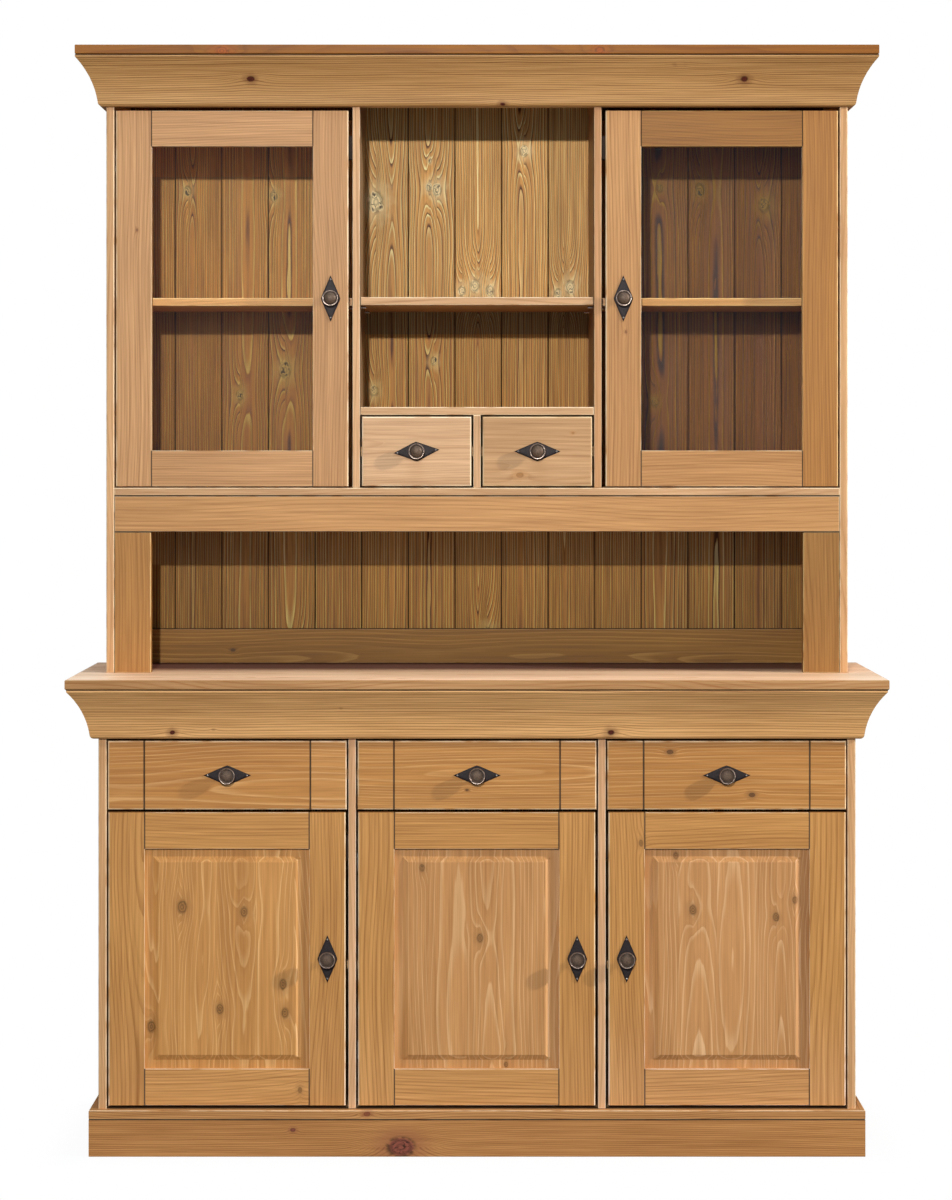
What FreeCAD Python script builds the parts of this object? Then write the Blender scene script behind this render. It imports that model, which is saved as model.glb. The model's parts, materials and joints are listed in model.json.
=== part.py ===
import FreeCAD, Part
import math
import os

Vector = FreeCAD.Vector

# A pine buffet cabinet in millimetres. The origin is on the floor, under the middle of the
# footprint. The front looks along -Y, X runs to the right as the front is seen, Z is up.

# The whole cabinet
overall_width = 1500
overall_depth = 500
overall_height = 2050
counter_height = 875
hutch_depth = 300
counter_overhang = 55
cornice_overhang = 55
bay_count = 3

# Boards
slab_thickness = 18
board_thickness = 15
back_thickness = 9
board_ease = 2
joint_ease = 1
slab_top_ease = 1.5
slab_under_ease = 3
back_rebate = 7.5
backboard_count = 15
backboard_shift = 2.5
backboard_bevel = 1.2
tongue_width = 3.5
tongue_thickness = 3

# Plinth round the foot of the base
plinth_height = 85
plinth_cap_thickness = 17
plinth_reach = 16

# Cove moulding, the same under the countertop and under the cornice board
cove_height = 92.5
cove_reach = 52.5
cove_foot = 14.5
cove_foot_round = 8
cove_lip = 4
cove_hollow_shares = (0.33, 0.53)

# Nook between the countertop and the upper cupboards
nook_height = 265
apron_height = 68
post_width = 69
post_thickness = 22
nook_rail_height = 68

# Shelves and their pins
base_shelf_height = 265
hutch_shelf_height = 359
shelf_setback = 40
shelf_back_gap = 5
shelf_side_gap = 0.5
centre_shelf_setback = 2
pin_radius = 2.5
pin_in_wall = 6
pin_showing = 10
pin_from_edge = 40
pin_clearance = 0.05

# Hinged doors
door_thickness = 22
door_floor_gap = 6
glass_door_under_gap = 3
glass_door_top_gap = 7
hinge_side_gap = 3
knob_side_gap = 4.4
hutch_divider_shift = 2.7
frame_member = 67
door_edge_round = 3
panel_groove_depth = 10
panel_groove_start = 9
panel_tongue = 6
panel_fit = 0.5
panel_flat_border = 15
panel_bevel = 10
panel_raise = 5
panel_back_depth = 17
glass_rebate = 9
glass_front_depth = 11
glass_thickness = 4
glass_fit = 1
bead_fit = 0.2

# Cup hinges, two to a door
hinge_from_end = 95
pivot_inset = 16
pivot_depth = 10
hinge_pin_radius = 1.5
hinge_pin_clearance = 0.05
knuckle_radius = 2.9
arm_width = 14
arm_thickness = 3
arm_straight = 15
arm_bend = 12
arm_length = 74
arm_side_clearance = 0.3
mount_plate_thickness = 3
mount_plate_length = 50
mount_plate_height = 32
cup_radius = 17.5
cup_depth = 16
cup_wall = 1
cup_floor = 0.8
cup_edge_margin = 3
cup_flange_height = 56
cup_flange_width = 16
cup_flange_thickness = 1
lug_thickness = 1.5
lug_half_width = 3.5
notch_front_depth = 4.4
notch_clearance = 0.7

# Magnetic catches
catch_width = 12
catch_depth = 26
catch_height = 44
catch_gap = 0.4
catch_below_top = 45

# Drawers
base_drawer_height = 126.5
drawer_top_gap = 4.5
drawer_door_gap = 5
base_drawer_side_gap = 2.2
drawer_front_thickness = 22
drawer_front_groove = 2.4
drawer_front_groove_depth = 1.5
drawer_side = 13
drawer_back = 12
drawer_bottom = 5
drawer_bottom_up = 7
drawer_bottom_bite = 5
drawer_box_gap = 7
base_drawer_box_height = 104
base_drawer_back_gap = 29
base_drawer_box_up = 8
runner_height = 18
runner_reach = 12.5
runner_seat = 0.3
runner_slack = 1
runner_end_gap = 2
small_drawer_opening = 137
small_drawer_gap = 3
small_drawer_box_height = 104
small_drawer_back_gap = 34
small_drawer_box_up = 8

# Iron pulls: a diamond plate, a round knob, its screw and two nails
plate_length = 87
plate_height = 36.5
plate_thickness = 1.8
plate_bevel = 0.6
plate_shoulder_shares = (0.13, 0.9)
knob_radius = 15
knob_length = 24
knob_foot_radius = 7
knob_neck_radius = 5.5
knob_neck_share = 0.22
knob_under_shares = (0.8, 0.46)
knob_rim_share = 0.66
knob_shoulder_shares = (0.9, 0.84)
knob_screw_radius = 2
knob_screw_bite = 12
knob_screw_end_gap = 2.5
screw_head_radius = 4.5
screw_head_height = 2.5
screw_clearance = 0.05
nail_from_tip = 7.5
nail_head_radius = 1.6
nail_radius = 0.6
nail_length = 12
crooked_pull_angle = 4.5

# Cutting tools stand this far past the face they cut, and two places this close are one
overrun = 5
same_place = 0.01
full_turn = 360
quarter_turn = 90
diagonal = math.sqrt(0.5)

# Planes, widths, heights and lengths that follow from the sizes above
base_width = overall_width - counter_overhang * 2
hutch_width = overall_width - cove_reach * 2
front_edge = -overall_depth / 2
back_edge = overall_depth / 2
base_front = front_edge + counter_overhang
hutch_front = back_edge - hutch_depth
backboard_face = back_edge - back_thickness
counter_underside = counter_height - slab_thickness
cornice_underside = overall_height - slab_thickness
counter_cove_bottom = counter_underside - cove_height
cornice_cove_bottom = cornice_underside - cove_height
base_drawer_top = counter_cove_bottom - drawer_top_gap
base_drawer_bottom = base_drawer_top - base_drawer_height
base_door_top = base_drawer_bottom - drawer_door_gap
base_door_bottom = plinth_height + door_floor_gap
apron_bottom = counter_height + nook_height
hutch_floor_bottom = apron_bottom + apron_height
hutch_floor_top = hutch_floor_bottom + board_thickness
glass_door_bottom = hutch_floor_top + glass_door_under_gap
glass_door_top = cornice_cove_bottom - glass_door_top_gap
drawer_bay_top = hutch_floor_top + small_drawer_opening
hutch_top_underside = cornice_underside - board_thickness
hutch_shelf_top = hutch_floor_top + hutch_shelf_height
base_shelf_top = plinth_height + base_shelf_height
shelf_back = backboard_face - shelf_back_gap
base_drawer_box_start = base_front + drawer_front_thickness
base_drawer_box_length = backboard_face - base_drawer_back_gap - base_drawer_box_start
small_drawer_box_start = hutch_front + drawer_front_thickness
small_drawer_box_length = backboard_face - small_drawer_back_gap - small_drawer_box_start


def box(x_span, y_span, z_span):
    """A box between two places along each axis."""
    low = Vector(x_span[0], y_span[0], z_span[0])
    high = Vector(x_span[1], y_span[1], z_span[1])
    size = high - low
    return Part.makeBox(size.x, size.y, size.z, low)


def lies_in(edge, axis, place):
    """True when both ends of an edge are in one plane across an axis."""
    return all(abs(getattr(vertex.Point, axis) - place) < same_place for vertex in edge.Vertexes)


def rounded(solid, radius, *planes):
    """Round the edges that lie in all the planes named, each an axis and a place."""
    edges = [edge for edge in solid.Edges if all(lies_in(edge, *plane) for plane in planes)]
    return solid.makeFillet(radius, edges)


def eased_front(solid, radius=board_ease):
    """Ease the edges round the face that looks forward."""
    return rounded(solid, radius, ("y", solid.BoundBox.YMin))


def board(x_span, y_span, z_span):
    """A board with its front edges eased."""
    return eased_front(box(x_span, y_span, z_span))


def mirrored(solids):
    """The same pieces on the other side of the cabinet's middle plane."""
    return [solid.mirror(Vector(0, 0, 0), Vector(1, 0, 0)) for solid in solids]


def rod(start, direction, radius, length):
    """A round rod from a point along a direction."""
    return Part.makeCylinder(radius, length, start, direction)


def line(a, b):
    """A straight edge between two points."""
    return Part.LineSegment(a, b).toShape()


def arc(a, through, b):
    """A round edge between two points, through a third."""
    return Part.Arc(a, through, b).toShape()


def prism(points, direction):
    """A closed flat outline drawn out along a direction."""
    return Part.Face(Part.makePolygon(points + points[:1])).extrude(direction)


def bay_span(width, bay):
    """The left and right faces of one of the three bays; the middle bay of the hutch is narrower."""
    clear = (width - (bay_count + 1) * board_thickness) / bay_count
    left = -width / 2 + board_thickness + bay * (clear + board_thickness)
    shift = hutch_divider_shift if width == hutch_width else 0
    shifts = (0, shift, -shift, 0)
    return left + shifts[bay], left + clear + shifts[bay + 1]


def uprights_between_bays(width, y_span, z_span):
    """The dividers between the bays of the base or of the hutch."""
    faces = [bay_span(width, bay)[1] for bay in range(bay_count - 1)]
    return [board((face, face + board_thickness), y_span, z_span) for face in faces]


def strip_profile(thickness, bottom, top, radius):
    """Section of a flat strip whose two outer corners are rounded; X is how far it stands out."""
    inner = thickness - radius
    bend = inner + radius * diagonal
    low = bottom + radius
    high = top - radius
    points = [Vector(0, 0, bottom), Vector(inner, 0, bottom), Vector(thickness, 0, low),
              Vector(thickness, 0, high), Vector(inner, 0, top), Vector(0, 0, top)]
    lower_round = arc(points[1], Vector(bend, 0, low - radius * diagonal), points[2])
    upper_round = arc(points[3], Vector(bend, 0, high + radius * diagonal), points[4])
    edges = [line(points[0], points[1]), lower_round, line(points[2], points[3]), upper_round,
             line(points[4], points[5]), line(points[5], points[0])]
    return Part.Face(Part.Wire(edges))


def cove_profile(bottom):
    """Section of the hollow moulding: a round foot, a long hollow and a square lip at the top."""
    top = bottom + cove_height
    foot_top = bottom + cove_foot_round
    lip_bottom = top - cove_lip
    foot_inner = cove_foot - cove_foot_round
    foot_bend = Vector(foot_inner + cove_foot_round * diagonal, 0, foot_top - cove_foot_round * diagonal)
    out_share, up_share = cove_hollow_shares
    hollow = Vector(cove_foot + out_share * (cove_reach - cove_foot), 0,
                    foot_top + up_share * (lip_bottom - foot_top))
    heel, foot = Vector(0, 0, bottom), Vector(foot_inner, 0, bottom)
    shin, lip = Vector(cove_foot, 0, foot_top), Vector(cove_reach, 0, lip_bottom)
    brow, crown = Vector(cove_reach, 0, top), Vector(0, 0, top)
    edges = [line(heel, foot), arc(foot, foot_bend, shin), arc(shin, hollow, lip),
             line(lip, brow), line(brow, crown), line(crown, heel)]
    return Part.Face(Part.Wire(edges))


def surround(profile, reach, half_width, front, back):
    """A moulding on the front and both sides, mitred at the two front corners."""
    low, high = profile.BoundBox.ZMin - overrun, profile.BoundBox.ZMax + overrun
    rise = Vector(0, 0, high - low)
    outer_x, outer_y = half_width + reach, front - reach
    inner_corner, outer_corner = Vector(half_width, front, low), Vector(outer_x, outer_y, low)
    inner_left, outer_left = Vector(-half_width, front, low), Vector(-outer_x, outer_y, low)
    front_room = prism([outer_left, outer_corner, inner_corner, inner_left], rise)
    side_room = prism([inner_corner, outer_corner, Vector(outer_x, back, low),
                       Vector(half_width, back, low)], rise)
    section = profile.copy()
    section.translate(Vector(half_width, outer_y, 0))
    side = section.extrude(Vector(0, back - outer_y, 0)).common(side_room).Solids[0]
    section = profile.copy()
    section.rotate(Vector(0, 0, 0), Vector(0, 0, 1), -quarter_turn)
    section.translate(Vector(-outer_x, front, 0))
    strip = section.extrude(Vector(outer_x + outer_x, 0, 0)).common(front_room).Solids[0]
    return [strip, side] + mirrored([side])


def slab(width, front, back, bottom):
    """The countertop or the cornice board, eased above and rounder below."""
    top = bottom + slab_thickness
    piece = box((-width / 2, width / 2), (front, back), (bottom, top))
    piece = rounded(piece, slab_top_ease, ("z", top))
    return rounded(piece, slab_under_ease, ("z", bottom))


def matchboards(width, z_span):
    """Tongued and grooved upright boards that close the back of a carcass."""
    edge = width / 2 - back_rebate
    pitch = (edge + edge) / backboard_count
    joints = [-edge + pitch * number + backboard_shift for number in range(1, backboard_count)]
    places = [-edge] + joints + [edge]
    tongue_face = backboard_face + (back_thickness - tongue_thickness) / 2
    tongue_span = (tongue_face, tongue_face + tongue_thickness)
    boards = []
    for left, right in zip(places, places[1:]):
        piece = box((left, right), (backboard_face, back_edge), z_span)
        corners = [edge for edge in piece.Edges if lies_in(edge, "y", backboard_face)
                   and (lies_in(edge, "x", left) or lies_in(edge, "x", right))]
        piece = piece.makeChamfer(backboard_bevel, corners)
        if right < places[-1]:
            piece = piece.fuse(box((right, right + tongue_width), tongue_span, z_span))
        if left > places[0]:
            piece = piece.cut(box((left, left + tongue_width), tongue_span, z_span))
        boards.append(piece.Solids[0])
    return boards


def carcass_side(width, front, z_span):
    """The left side board, rebated along its back edge for the back boards."""
    outer = -width / 2
    side = board((outer, outer + board_thickness), (front, back_edge), z_span)
    rebate_x = (outer + board_thickness - back_rebate, outer + board_thickness + overrun)
    rebate_z = (z_span[0] - overrun, z_span[1] + overrun)
    rebate = box(rebate_x, (backboard_face, back_edge + overrun), rebate_z)
    return side.cut(rebate)


def shelf_spans(width, bay, setback_from, setback):
    """Where a loose shelf lies between two uprights."""
    left, right = bay_span(width, bay)
    return (left + shelf_side_gap, right - shelf_side_gap), (setback_from + setback, shelf_back)


def shelf(width, bay, front, setback, top):
    """A loose shelf on four pins."""
    x_span, y_span = shelf_spans(width, bay, front, setback)
    return board(x_span, y_span, (top - board_thickness, top))


def pin_rods(width, bay, front, setback, top, radius, length):
    """Four rods under a shelf, starting in the uprights on both sides of its bay."""
    left, right = bay_span(width, bay)
    y_front, y_back = shelf_spans(width, bay, front, setback)[1]
    height = top - board_thickness - pin_radius
    rods = []
    for y in (y_front + pin_from_edge, y_back - pin_from_edge):
        rods.append(rod(Vector(left - pin_in_wall, y, height), Vector(1, 0, 0), radius, length))
        rods.append(rod(Vector(right + pin_in_wall, y, height), Vector(-1, 0, 0), radius, length))
    return rods


def all_pins(carcass, radius, length):
    """The pins, or their holes, of every shelf in the base or in the hutch."""
    if carcass == "base":
        places = [(base_width, bay, base_front, shelf_setback, base_shelf_top) for bay in range(bay_count)]
    else:
        places = [(hutch_width, bay, hutch_front, hutch_setback(bay), hutch_shelf_top)
                  for bay in range(bay_count)]
    return [pin for place in places for pin in pin_rods(*place, radius, length)]


def hutch_setback(bay):
    """The open middle shelf comes nearly to the front; those behind glass stay behind the doors."""
    return centre_shelf_setback if bay == 1 else shelf_setback


def drilled(solid, holes):
    """Cut those holes that reach into a piece."""
    near = [hole for hole in holes if hole.BoundBox.intersect(solid.BoundBox)]
    return solid.cut(Part.makeCompound(near)) if near else solid


def top_rails(width, front, z_span):
    """Front rails behind a cove moulding, one over each bay."""
    depth = (front, front + board_thickness)
    return [box(bay_span(width, bay), depth, z_span) for bay in range(bay_count)]


def diamond():
    """The outline of a pull's back plate, a long diamond with blunt shoulders."""
    half_length, half_height = plate_length / 2, plate_height / 2
    along, up = plate_shoulder_shares
    shoulder_x, shoulder_z = half_length * along, half_height * up
    return [Vector(half_length, 0, 0), Vector(shoulder_x, 0, shoulder_z), Vector(0, 0, half_height),
            Vector(-shoulder_x, 0, shoulder_z), Vector(-half_length, 0, 0),
            Vector(-shoulder_x, 0, -shoulder_z), Vector(0, 0, -half_height),
            Vector(shoulder_x, 0, -shoulder_z)]


def knob():
    """A round iron knob turned about Y, its foot on the plate, with a blind bore for its screw."""

    def at(radius, length):
        return Vector(radius, -plate_thickness - length, 0)

    under_radius, under_share = knob_under_shares
    shoulder_radius, shoulder_share = knob_shoulder_shares
    under = at(knob_radius * under_radius, knob_length * under_share)
    shoulder_reach, shoulder_length = knob_radius * shoulder_radius, knob_length * shoulder_share
    shoulder = at(shoulder_reach, shoulder_length)
    drop = knob_length - shoulder_length
    dome = (shoulder_reach ** 2 + drop ** 2) / (drop + drop)
    half_reach = shoulder_reach / 2
    crown = at(half_reach, knob_length - dome + math.sqrt(dome ** 2 - half_reach ** 2))
    bore = knob_screw_radius + screw_clearance
    foot, tip = at(knob_foot_radius, 0), at(0, knob_length)
    bore_end, bore_rim, bore_mouth = at(0, knob_screw_bite), at(bore, knob_screw_bite), at(bore, 0)
    edges = [arc(foot, at(knob_neck_radius, knob_length * knob_neck_share), under),
             arc(under, at(knob_radius, knob_length * knob_rim_share), shoulder),
             arc(shoulder, crown, tip), line(tip, bore_end), line(bore_end, bore_rim),
             line(bore_rim, bore_mouth), line(bore_mouth, foot)]
    return Part.Face(Part.Wire(edges)).revolve(Vector(0, 0, 0), Vector(0, 1, 0), full_turn)


def nail_places():
    """The two nails near the tips of the plate."""
    reach = plate_length / 2 - nail_from_tip
    return [Vector(reach, 0, 0), Vector(-reach, 0, 0)]


def pull_bores(wood_depth):
    """Holes for the knob screw and the nails, through the plate and into the wood."""
    start = Vector(0, -plate_thickness - overrun, 0)
    back = Vector(0, 1, 0)
    screw_hole = rod(start, back, knob_screw_radius + screw_clearance,
                     overrun + plate_thickness + wood_depth + overrun)
    nail_depth = nail_length + overrun
    nails = [rod(start + place, back, nail_radius + screw_clearance, nail_depth) for place in nail_places()]
    return [screw_hole] + nails


def pull(wood_depth):
    """One pull, its plate on the plane y = 0 and its screw head behind the wood."""
    face = Vector(0, -plate_thickness, 0)
    plate = prism(diamond(), face)
    rim = [edge for edge in plate.Edges if lies_in(edge, "y", -plate_thickness)]
    plate = plate.makeChamfer(plate_bevel, rim)
    plate = plate.cut(Part.makeCompound(pull_bores(wood_depth)))
    back = Vector(0, 1, 0)
    shank_start = Vector(0, knob_screw_end_gap - plate_thickness - knob_screw_bite, 0)
    shank = rod(shank_start, back, knob_screw_radius, wood_depth - shank_start.y)
    head = rod(Vector(0, wood_depth, 0), back, screw_head_radius, screw_head_height)
    solids = [plate, knob(), shank.fuse(head).removeSplitter()]
    for place in nail_places():
        dome = Part.makeSphere(nail_head_radius, face + place, Vector(0, -1, 0), 0, quarter_turn)
        stem = rod(face + place, back, nail_radius, nail_length)
        solids.append(dome.fuse(stem).removeSplitter())
    return solids


def placed(solids, place, angle=0):
    """Turn pieces in the front plane and carry them to their place."""
    moved = []
    for solid in solids:
        piece = solid.copy()
        piece.rotate(Vector(0, 0, 0), Vector(0, 1, 0), -angle)
        piece.translate(place)
        moved.append(piece)
    return moved


def hinge_heights(bottom, top):
    """The two hinges of a door."""
    return [bottom + hinge_from_end, top - hinge_from_end]


def pivot_place(left, front, height):
    """The point on a hinge's axis at its middle."""
    return Vector(left + pivot_inset, front + pivot_depth, height)


def hinge_arm(left, front, height):
    """The fixed half of a hinge: a plate on the upright, and a cranked arm that ends in a knuckle."""
    pivot = pivot_place(left, front, height)
    half = arm_thickness / 2
    low = height - arm_width / 2
    seat = left + mount_plate_thickness
    knee, bend_end, end = pivot.y + arm_straight, pivot.y + arm_straight + arm_bend, pivot.y + arm_length
    outline = [(pivot.x - half, pivot.y), (pivot.x + half, pivot.y), (pivot.x + half, knee + half),
               (seat + arm_thickness, bend_end + half), (seat + arm_thickness, end), (seat, end),
               (seat, bend_end), (pivot.x - half, knee)]
    web = prism([Vector(x, y, low) for x, y in outline], Vector(0, 0, arm_width))
    foot = Vector(pivot.x, pivot.y, low)
    up = Vector(0, 0, 1)
    knuckle = rod(foot, up, knuckle_radius, arm_width)
    hole = rod(foot - up * overrun, up, hinge_pin_radius + hinge_pin_clearance, arm_width + overrun * 2)
    arm = web.fuse(knuckle).cut(hole).removeSplitter()
    plate_y = (end - mount_plate_length, end)
    plate_z = (height - mount_plate_height / 2, height + mount_plate_height / 2)
    plate = rounded(box((left, seat), plate_y, plate_z), joint_ease, ("x", seat))
    return [arm, plate]


def cup_axis_x(left):
    """The middle of a hinge cup, a set margin in from the door's hinge edge."""
    return left + hinge_side_gap + cup_edge_margin + cup_radius


def cup_bore(left, front, height):
    """The round pocket for a cup in the back of a stile."""
    start = Vector(cup_axis_x(left), front + door_thickness - cup_depth, height)
    return rod(start, Vector(0, 1, 0), cup_radius, cup_depth + overrun)


def arm_notch(left, front, height, reach_back):
    """Room for the arm at the hinge edge of a door while the door swings."""
    half = arm_width / 2 + notch_clearance
    x_span = (left, left + pivot_inset)
    return box(x_span, (front + notch_front_depth, front + reach_back), (height - half, height + half))


def hinge_cup(left, front, height):
    """The moving half of a hinge: the cup with its flange and lugs, and the hinge pin."""
    axis_x = cup_axis_x(left)
    back_face = front + door_thickness
    pivot = pivot_place(left, front, height)
    back = Vector(0, 1, 0)
    shell = rod(Vector(axis_x, back_face - cup_depth, height), back, cup_radius, cup_depth)
    flange_x = (axis_x - cup_flange_width / 2, axis_x + cup_flange_width / 2)
    flange_z = (height - cup_flange_height / 2, height + cup_flange_height / 2)
    flange = box(flange_x, (back_face, back_face + cup_flange_thickness), flange_z)
    hollow_start = Vector(axis_x, back_face - cup_depth + cup_floor, height)
    hollow = rod(hollow_start, back, cup_radius - cup_wall, cup_depth + overrun)
    cup = shell.fuse(flange).cut(hollow).cut(arm_notch(left, front, height, door_thickness + overrun))
    lug_near = arm_width / 2 + arm_side_clearance
    lug_x = (pivot.x - lug_half_width, pivot.x + lug_half_width)
    lug_y = (back_face - cup_depth + cup_floor / 2, pivot.y + lug_half_width)
    spans = [(height + lug_near, height + lug_near + lug_thickness),
             (height - lug_near - lug_thickness, height - lug_near)]
    cup = cup.fuse([box(lug_x, lug_y, span) for span in spans])
    pin_half = lug_near + lug_thickness
    pin_foot, up = pivot - Vector(0, 0, pin_half), Vector(0, 0, 1)
    hole = rod(pin_foot - up * overrun, up, hinge_pin_radius + hinge_pin_clearance,
               pin_half * 2 + overrun * 2)
    pin = rod(pin_foot, up, hinge_pin_radius, pin_half * 2)
    return [cup.cut(hole).removeSplitter().Solids[0], pin]


def door_spans(left, right):
    """The hinge edge and the free edge of a door hung on the left upright of its bay."""
    return left + hinge_side_gap, right - knob_side_gap


def frame_solids(x_span, front, z_span):
    """Two stiles and two rails with their outer front edges rounded and their joints eased."""
    (left, right), (bottom, top) = x_span, z_span
    y_span = (front, front + door_thickness)
    inner_left, inner_right = left + frame_member, right - frame_member
    stiles = []
    for outer, inner in ((left, inner_left), (right, inner_right)):
        stile = box((min(outer, inner), max(outer, inner)), y_span, z_span)
        stile = rounded(stile, joint_ease, ("y", front), ("x", inner))
        stiles.append(rounded(stile, door_edge_round, ("y", front), ("x", outer)))
    rails = []
    for outer, inner in ((bottom, bottom + frame_member), (top, top - frame_member)):
        rail = box((inner_left, inner_right), y_span, (min(outer, inner), max(outer, inner)))
        rails.append(rounded(rail, joint_ease, ("y", front)))
    return stiles, rails


def pull_place(x_span, front, z_span):
    """A door's pull is in the middle of the height, on the middle of the free stile."""
    return Vector(x_span[1] - frame_member / 2, front, sum(z_span) / 2)


def door_cuts(left, front, x_span, z_span):
    """Pockets for the hinges in the hinge stile, and bores for the pull in the free stile."""
    cuts = []
    for height in hinge_heights(*z_span):
        cuts += [cup_bore(left, front, height), arm_notch(left, front, height, door_thickness + overrun)]
    return cuts + placed(pull_bores(door_thickness), pull_place(x_span, front, z_span), quarter_turn)


def panelled_door(bay, front, z_span):
    """A framed door with a raised panel in its groove, hung on the left."""
    left, right = bay_span(base_width, bay)
    x_span = door_spans(left, right)
    stiles, rails = frame_solids(x_span, front, z_span)
    inner_x = (x_span[0] + frame_member, x_span[1] - frame_member)
    inner_z = (z_span[0] + frame_member, z_span[1] - frame_member)
    groove_y = (front + panel_groove_start, front + panel_groove_start + panel_tongue)
    depth = panel_groove_depth
    groove_x = (inner_x[0] - depth, inner_x[1] + depth)
    groove_z = (inner_z[0] - depth, inner_z[1] + depth)
    tall = (z_span[0] - overrun, z_span[1] + overrun)
    stiles = [stile.cut(box(groove_x, groove_y, tall)) for stile in stiles]
    tenoned = []
    for rail, (low, high) in zip(rails, ((z_span[0], inner_z[0]), (inner_z[1], z_span[1]))):
        tenoned_rail = rail.fuse(box(groove_x, groove_y, (low, high)))
        tenoned.append(tenoned_rail.cut(box(groove_x, groove_y, groove_z)))
    cuts = door_cuts(left, front, x_span, z_span)
    frame = [drilled(solid, cuts) for solid in stiles] + [rail.removeSplitter() for rail in tenoned]
    return frame, [raised_panel(inner_x, inner_z, front)], x_span


def raised_panel(inner_x, inner_z, front):
    """The door panel: a tongue all round, a flat border and a field raised on a bevel."""
    fit = panel_groove_depth - panel_fit
    outer_x, outer_z = (inner_x[0] - fit, inner_x[1] + fit), (inner_z[0] - fit, inner_z[1] + fit)
    flat = front + panel_groove_start
    sheet = box(outer_x, (flat, flat + panel_tongue), outer_z)
    back = box((inner_x[0] + panel_fit, inner_x[1] - panel_fit), (flat, front + panel_back_depth),
               (inner_z[0] + panel_fit, inner_z[1] - panel_fit))
    rings = []
    for inset, y in ((panel_flat_border, flat), (panel_flat_border + panel_bevel, flat - panel_raise)):
        corners = [Vector(inner_x[0] + inset, y, inner_z[0] + inset),
                   Vector(inner_x[1] - inset, y, inner_z[0] + inset),
                   Vector(inner_x[1] - inset, y, inner_z[1] - inset),
                   Vector(inner_x[0] + inset, y, inner_z[1] - inset)]
        rings.append(Part.makePolygon(corners + corners[:1]))
    field = Part.makeLoft(rings, True, True)
    return sheet.fuse([back, field]).removeSplitter().Solids[0]


def glazed_door(bay, front, z_span):
    """A framed door with a pane in a rebate at the back, held by four beads, hung on the left."""
    left, right = bay_span(hutch_width, bay)
    x_span = door_spans(left, right - hutch_divider_shift)
    stiles, rails = frame_solids(x_span, front, z_span)
    inner_x = (x_span[0] + frame_member, x_span[1] - frame_member)
    inner_z = (z_span[0] + frame_member, z_span[1] - frame_member)
    rebate_x = (inner_x[0] - glass_rebate, inner_x[1] + glass_rebate)
    rebate_z = (inner_z[0] - glass_rebate, inner_z[1] + glass_rebate)
    back = front + door_thickness
    rebate = box(rebate_x, (front + glass_front_depth, back + overrun), rebate_z)
    cuts = door_cuts(left, front, x_span, z_span)
    frame = [drilled(solid.cut(rebate), cuts) for solid in stiles] + [rail.cut(rebate) for rail in rails]
    glass_y = (front + glass_front_depth, front + glass_front_depth + glass_thickness)
    pane = box((rebate_x[0] + glass_fit, rebate_x[1] - glass_fit), glass_y,
               (rebate_z[0] + glass_fit, rebate_z[1] - glass_fit))
    return frame + glazing_beads(rebate_x, rebate_z, (glass_y[1], back)), [pane], x_span


def glazing_beads(rebate_x, rebate_z, y_span):
    """Four square beads that hold the pane from behind."""
    width = glass_rebate - bead_fit
    left, right = rebate_x[0] + bead_fit, rebate_x[1] - bead_fit
    bottom, top = rebate_z[0] + bead_fit, rebate_z[1] - bead_fit
    tall = (bottom + width, top - width)
    return [box((left, right), y_span, (bottom, bottom + width)),
            box((left, right), y_span, (top - width, top)),
            box((left, left + width), y_span, tall),
            box((right - width, right), y_span, tall)]


def door_pull(x_span, front, z_span):
    """The upright pull on a door."""
    return placed(pull(door_thickness), pull_place(x_span, front, z_span), quarter_turn)


def catch(right, front, door_top):
    """A magnetic catch on the upright beside a door's free edge, just behind the door."""
    near = front + door_thickness + catch_gap
    high = door_top - catch_below_top
    return box((right - catch_width, right), (near, near + catch_depth), (high - catch_height, high))


def drawer_runner_pair(span, front, length, middle):
    """Two wooden strips, on the uprights to the left and right of a drawer."""
    y_span = (front + drawer_front_thickness + runner_end_gap, front + drawer_front_thickness + length)
    z_span = (middle - runner_height / 2, middle + runner_height / 2)
    left, right = span
    return [box((left, left + runner_reach), y_span, z_span),
            box((right - runner_reach, right), y_span, z_span)]


def drawer_box(span, front, length, bottom, height, middle):
    """Two grooved sides, a back and a bottom panel; the front board closes the box."""
    left, right = span[0] + drawer_box_gap, span[1] - drawer_box_gap
    start = front + drawer_front_thickness
    end = start + length
    top = bottom + height
    bite = runner_reach - drawer_box_gap + runner_seat
    groove_z = (middle - runner_height / 2 - runner_slack, middle + runner_height / 2 + runner_seat)
    groove_y = (start - overrun, end + overrun)
    panel_z = (bottom + drawer_bottom_up, bottom + drawer_bottom_up + drawer_bottom)
    panel_x = (left + drawer_side - drawer_bottom_bite, right - drawer_side + drawer_bottom_bite)
    panel = box(panel_x, (start, end), panel_z)
    side_left = box((left, left + drawer_side), (start, end), (bottom, top))
    side_left = side_left.cut(box((left - overrun, left + bite), groove_y, groove_z)).cut(panel)
    side_right = box((right - drawer_side, right), (start, end), (bottom, top))
    side_right = side_right.cut(box((right - bite, right + overrun), groove_y, groove_z)).cut(panel)
    inner_x = (left + drawer_side, right - drawer_side)
    back = box(inner_x, (end - drawer_back, end), (bottom, top)).cut(panel)
    return [side_left, side_right, back, panel]


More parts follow.
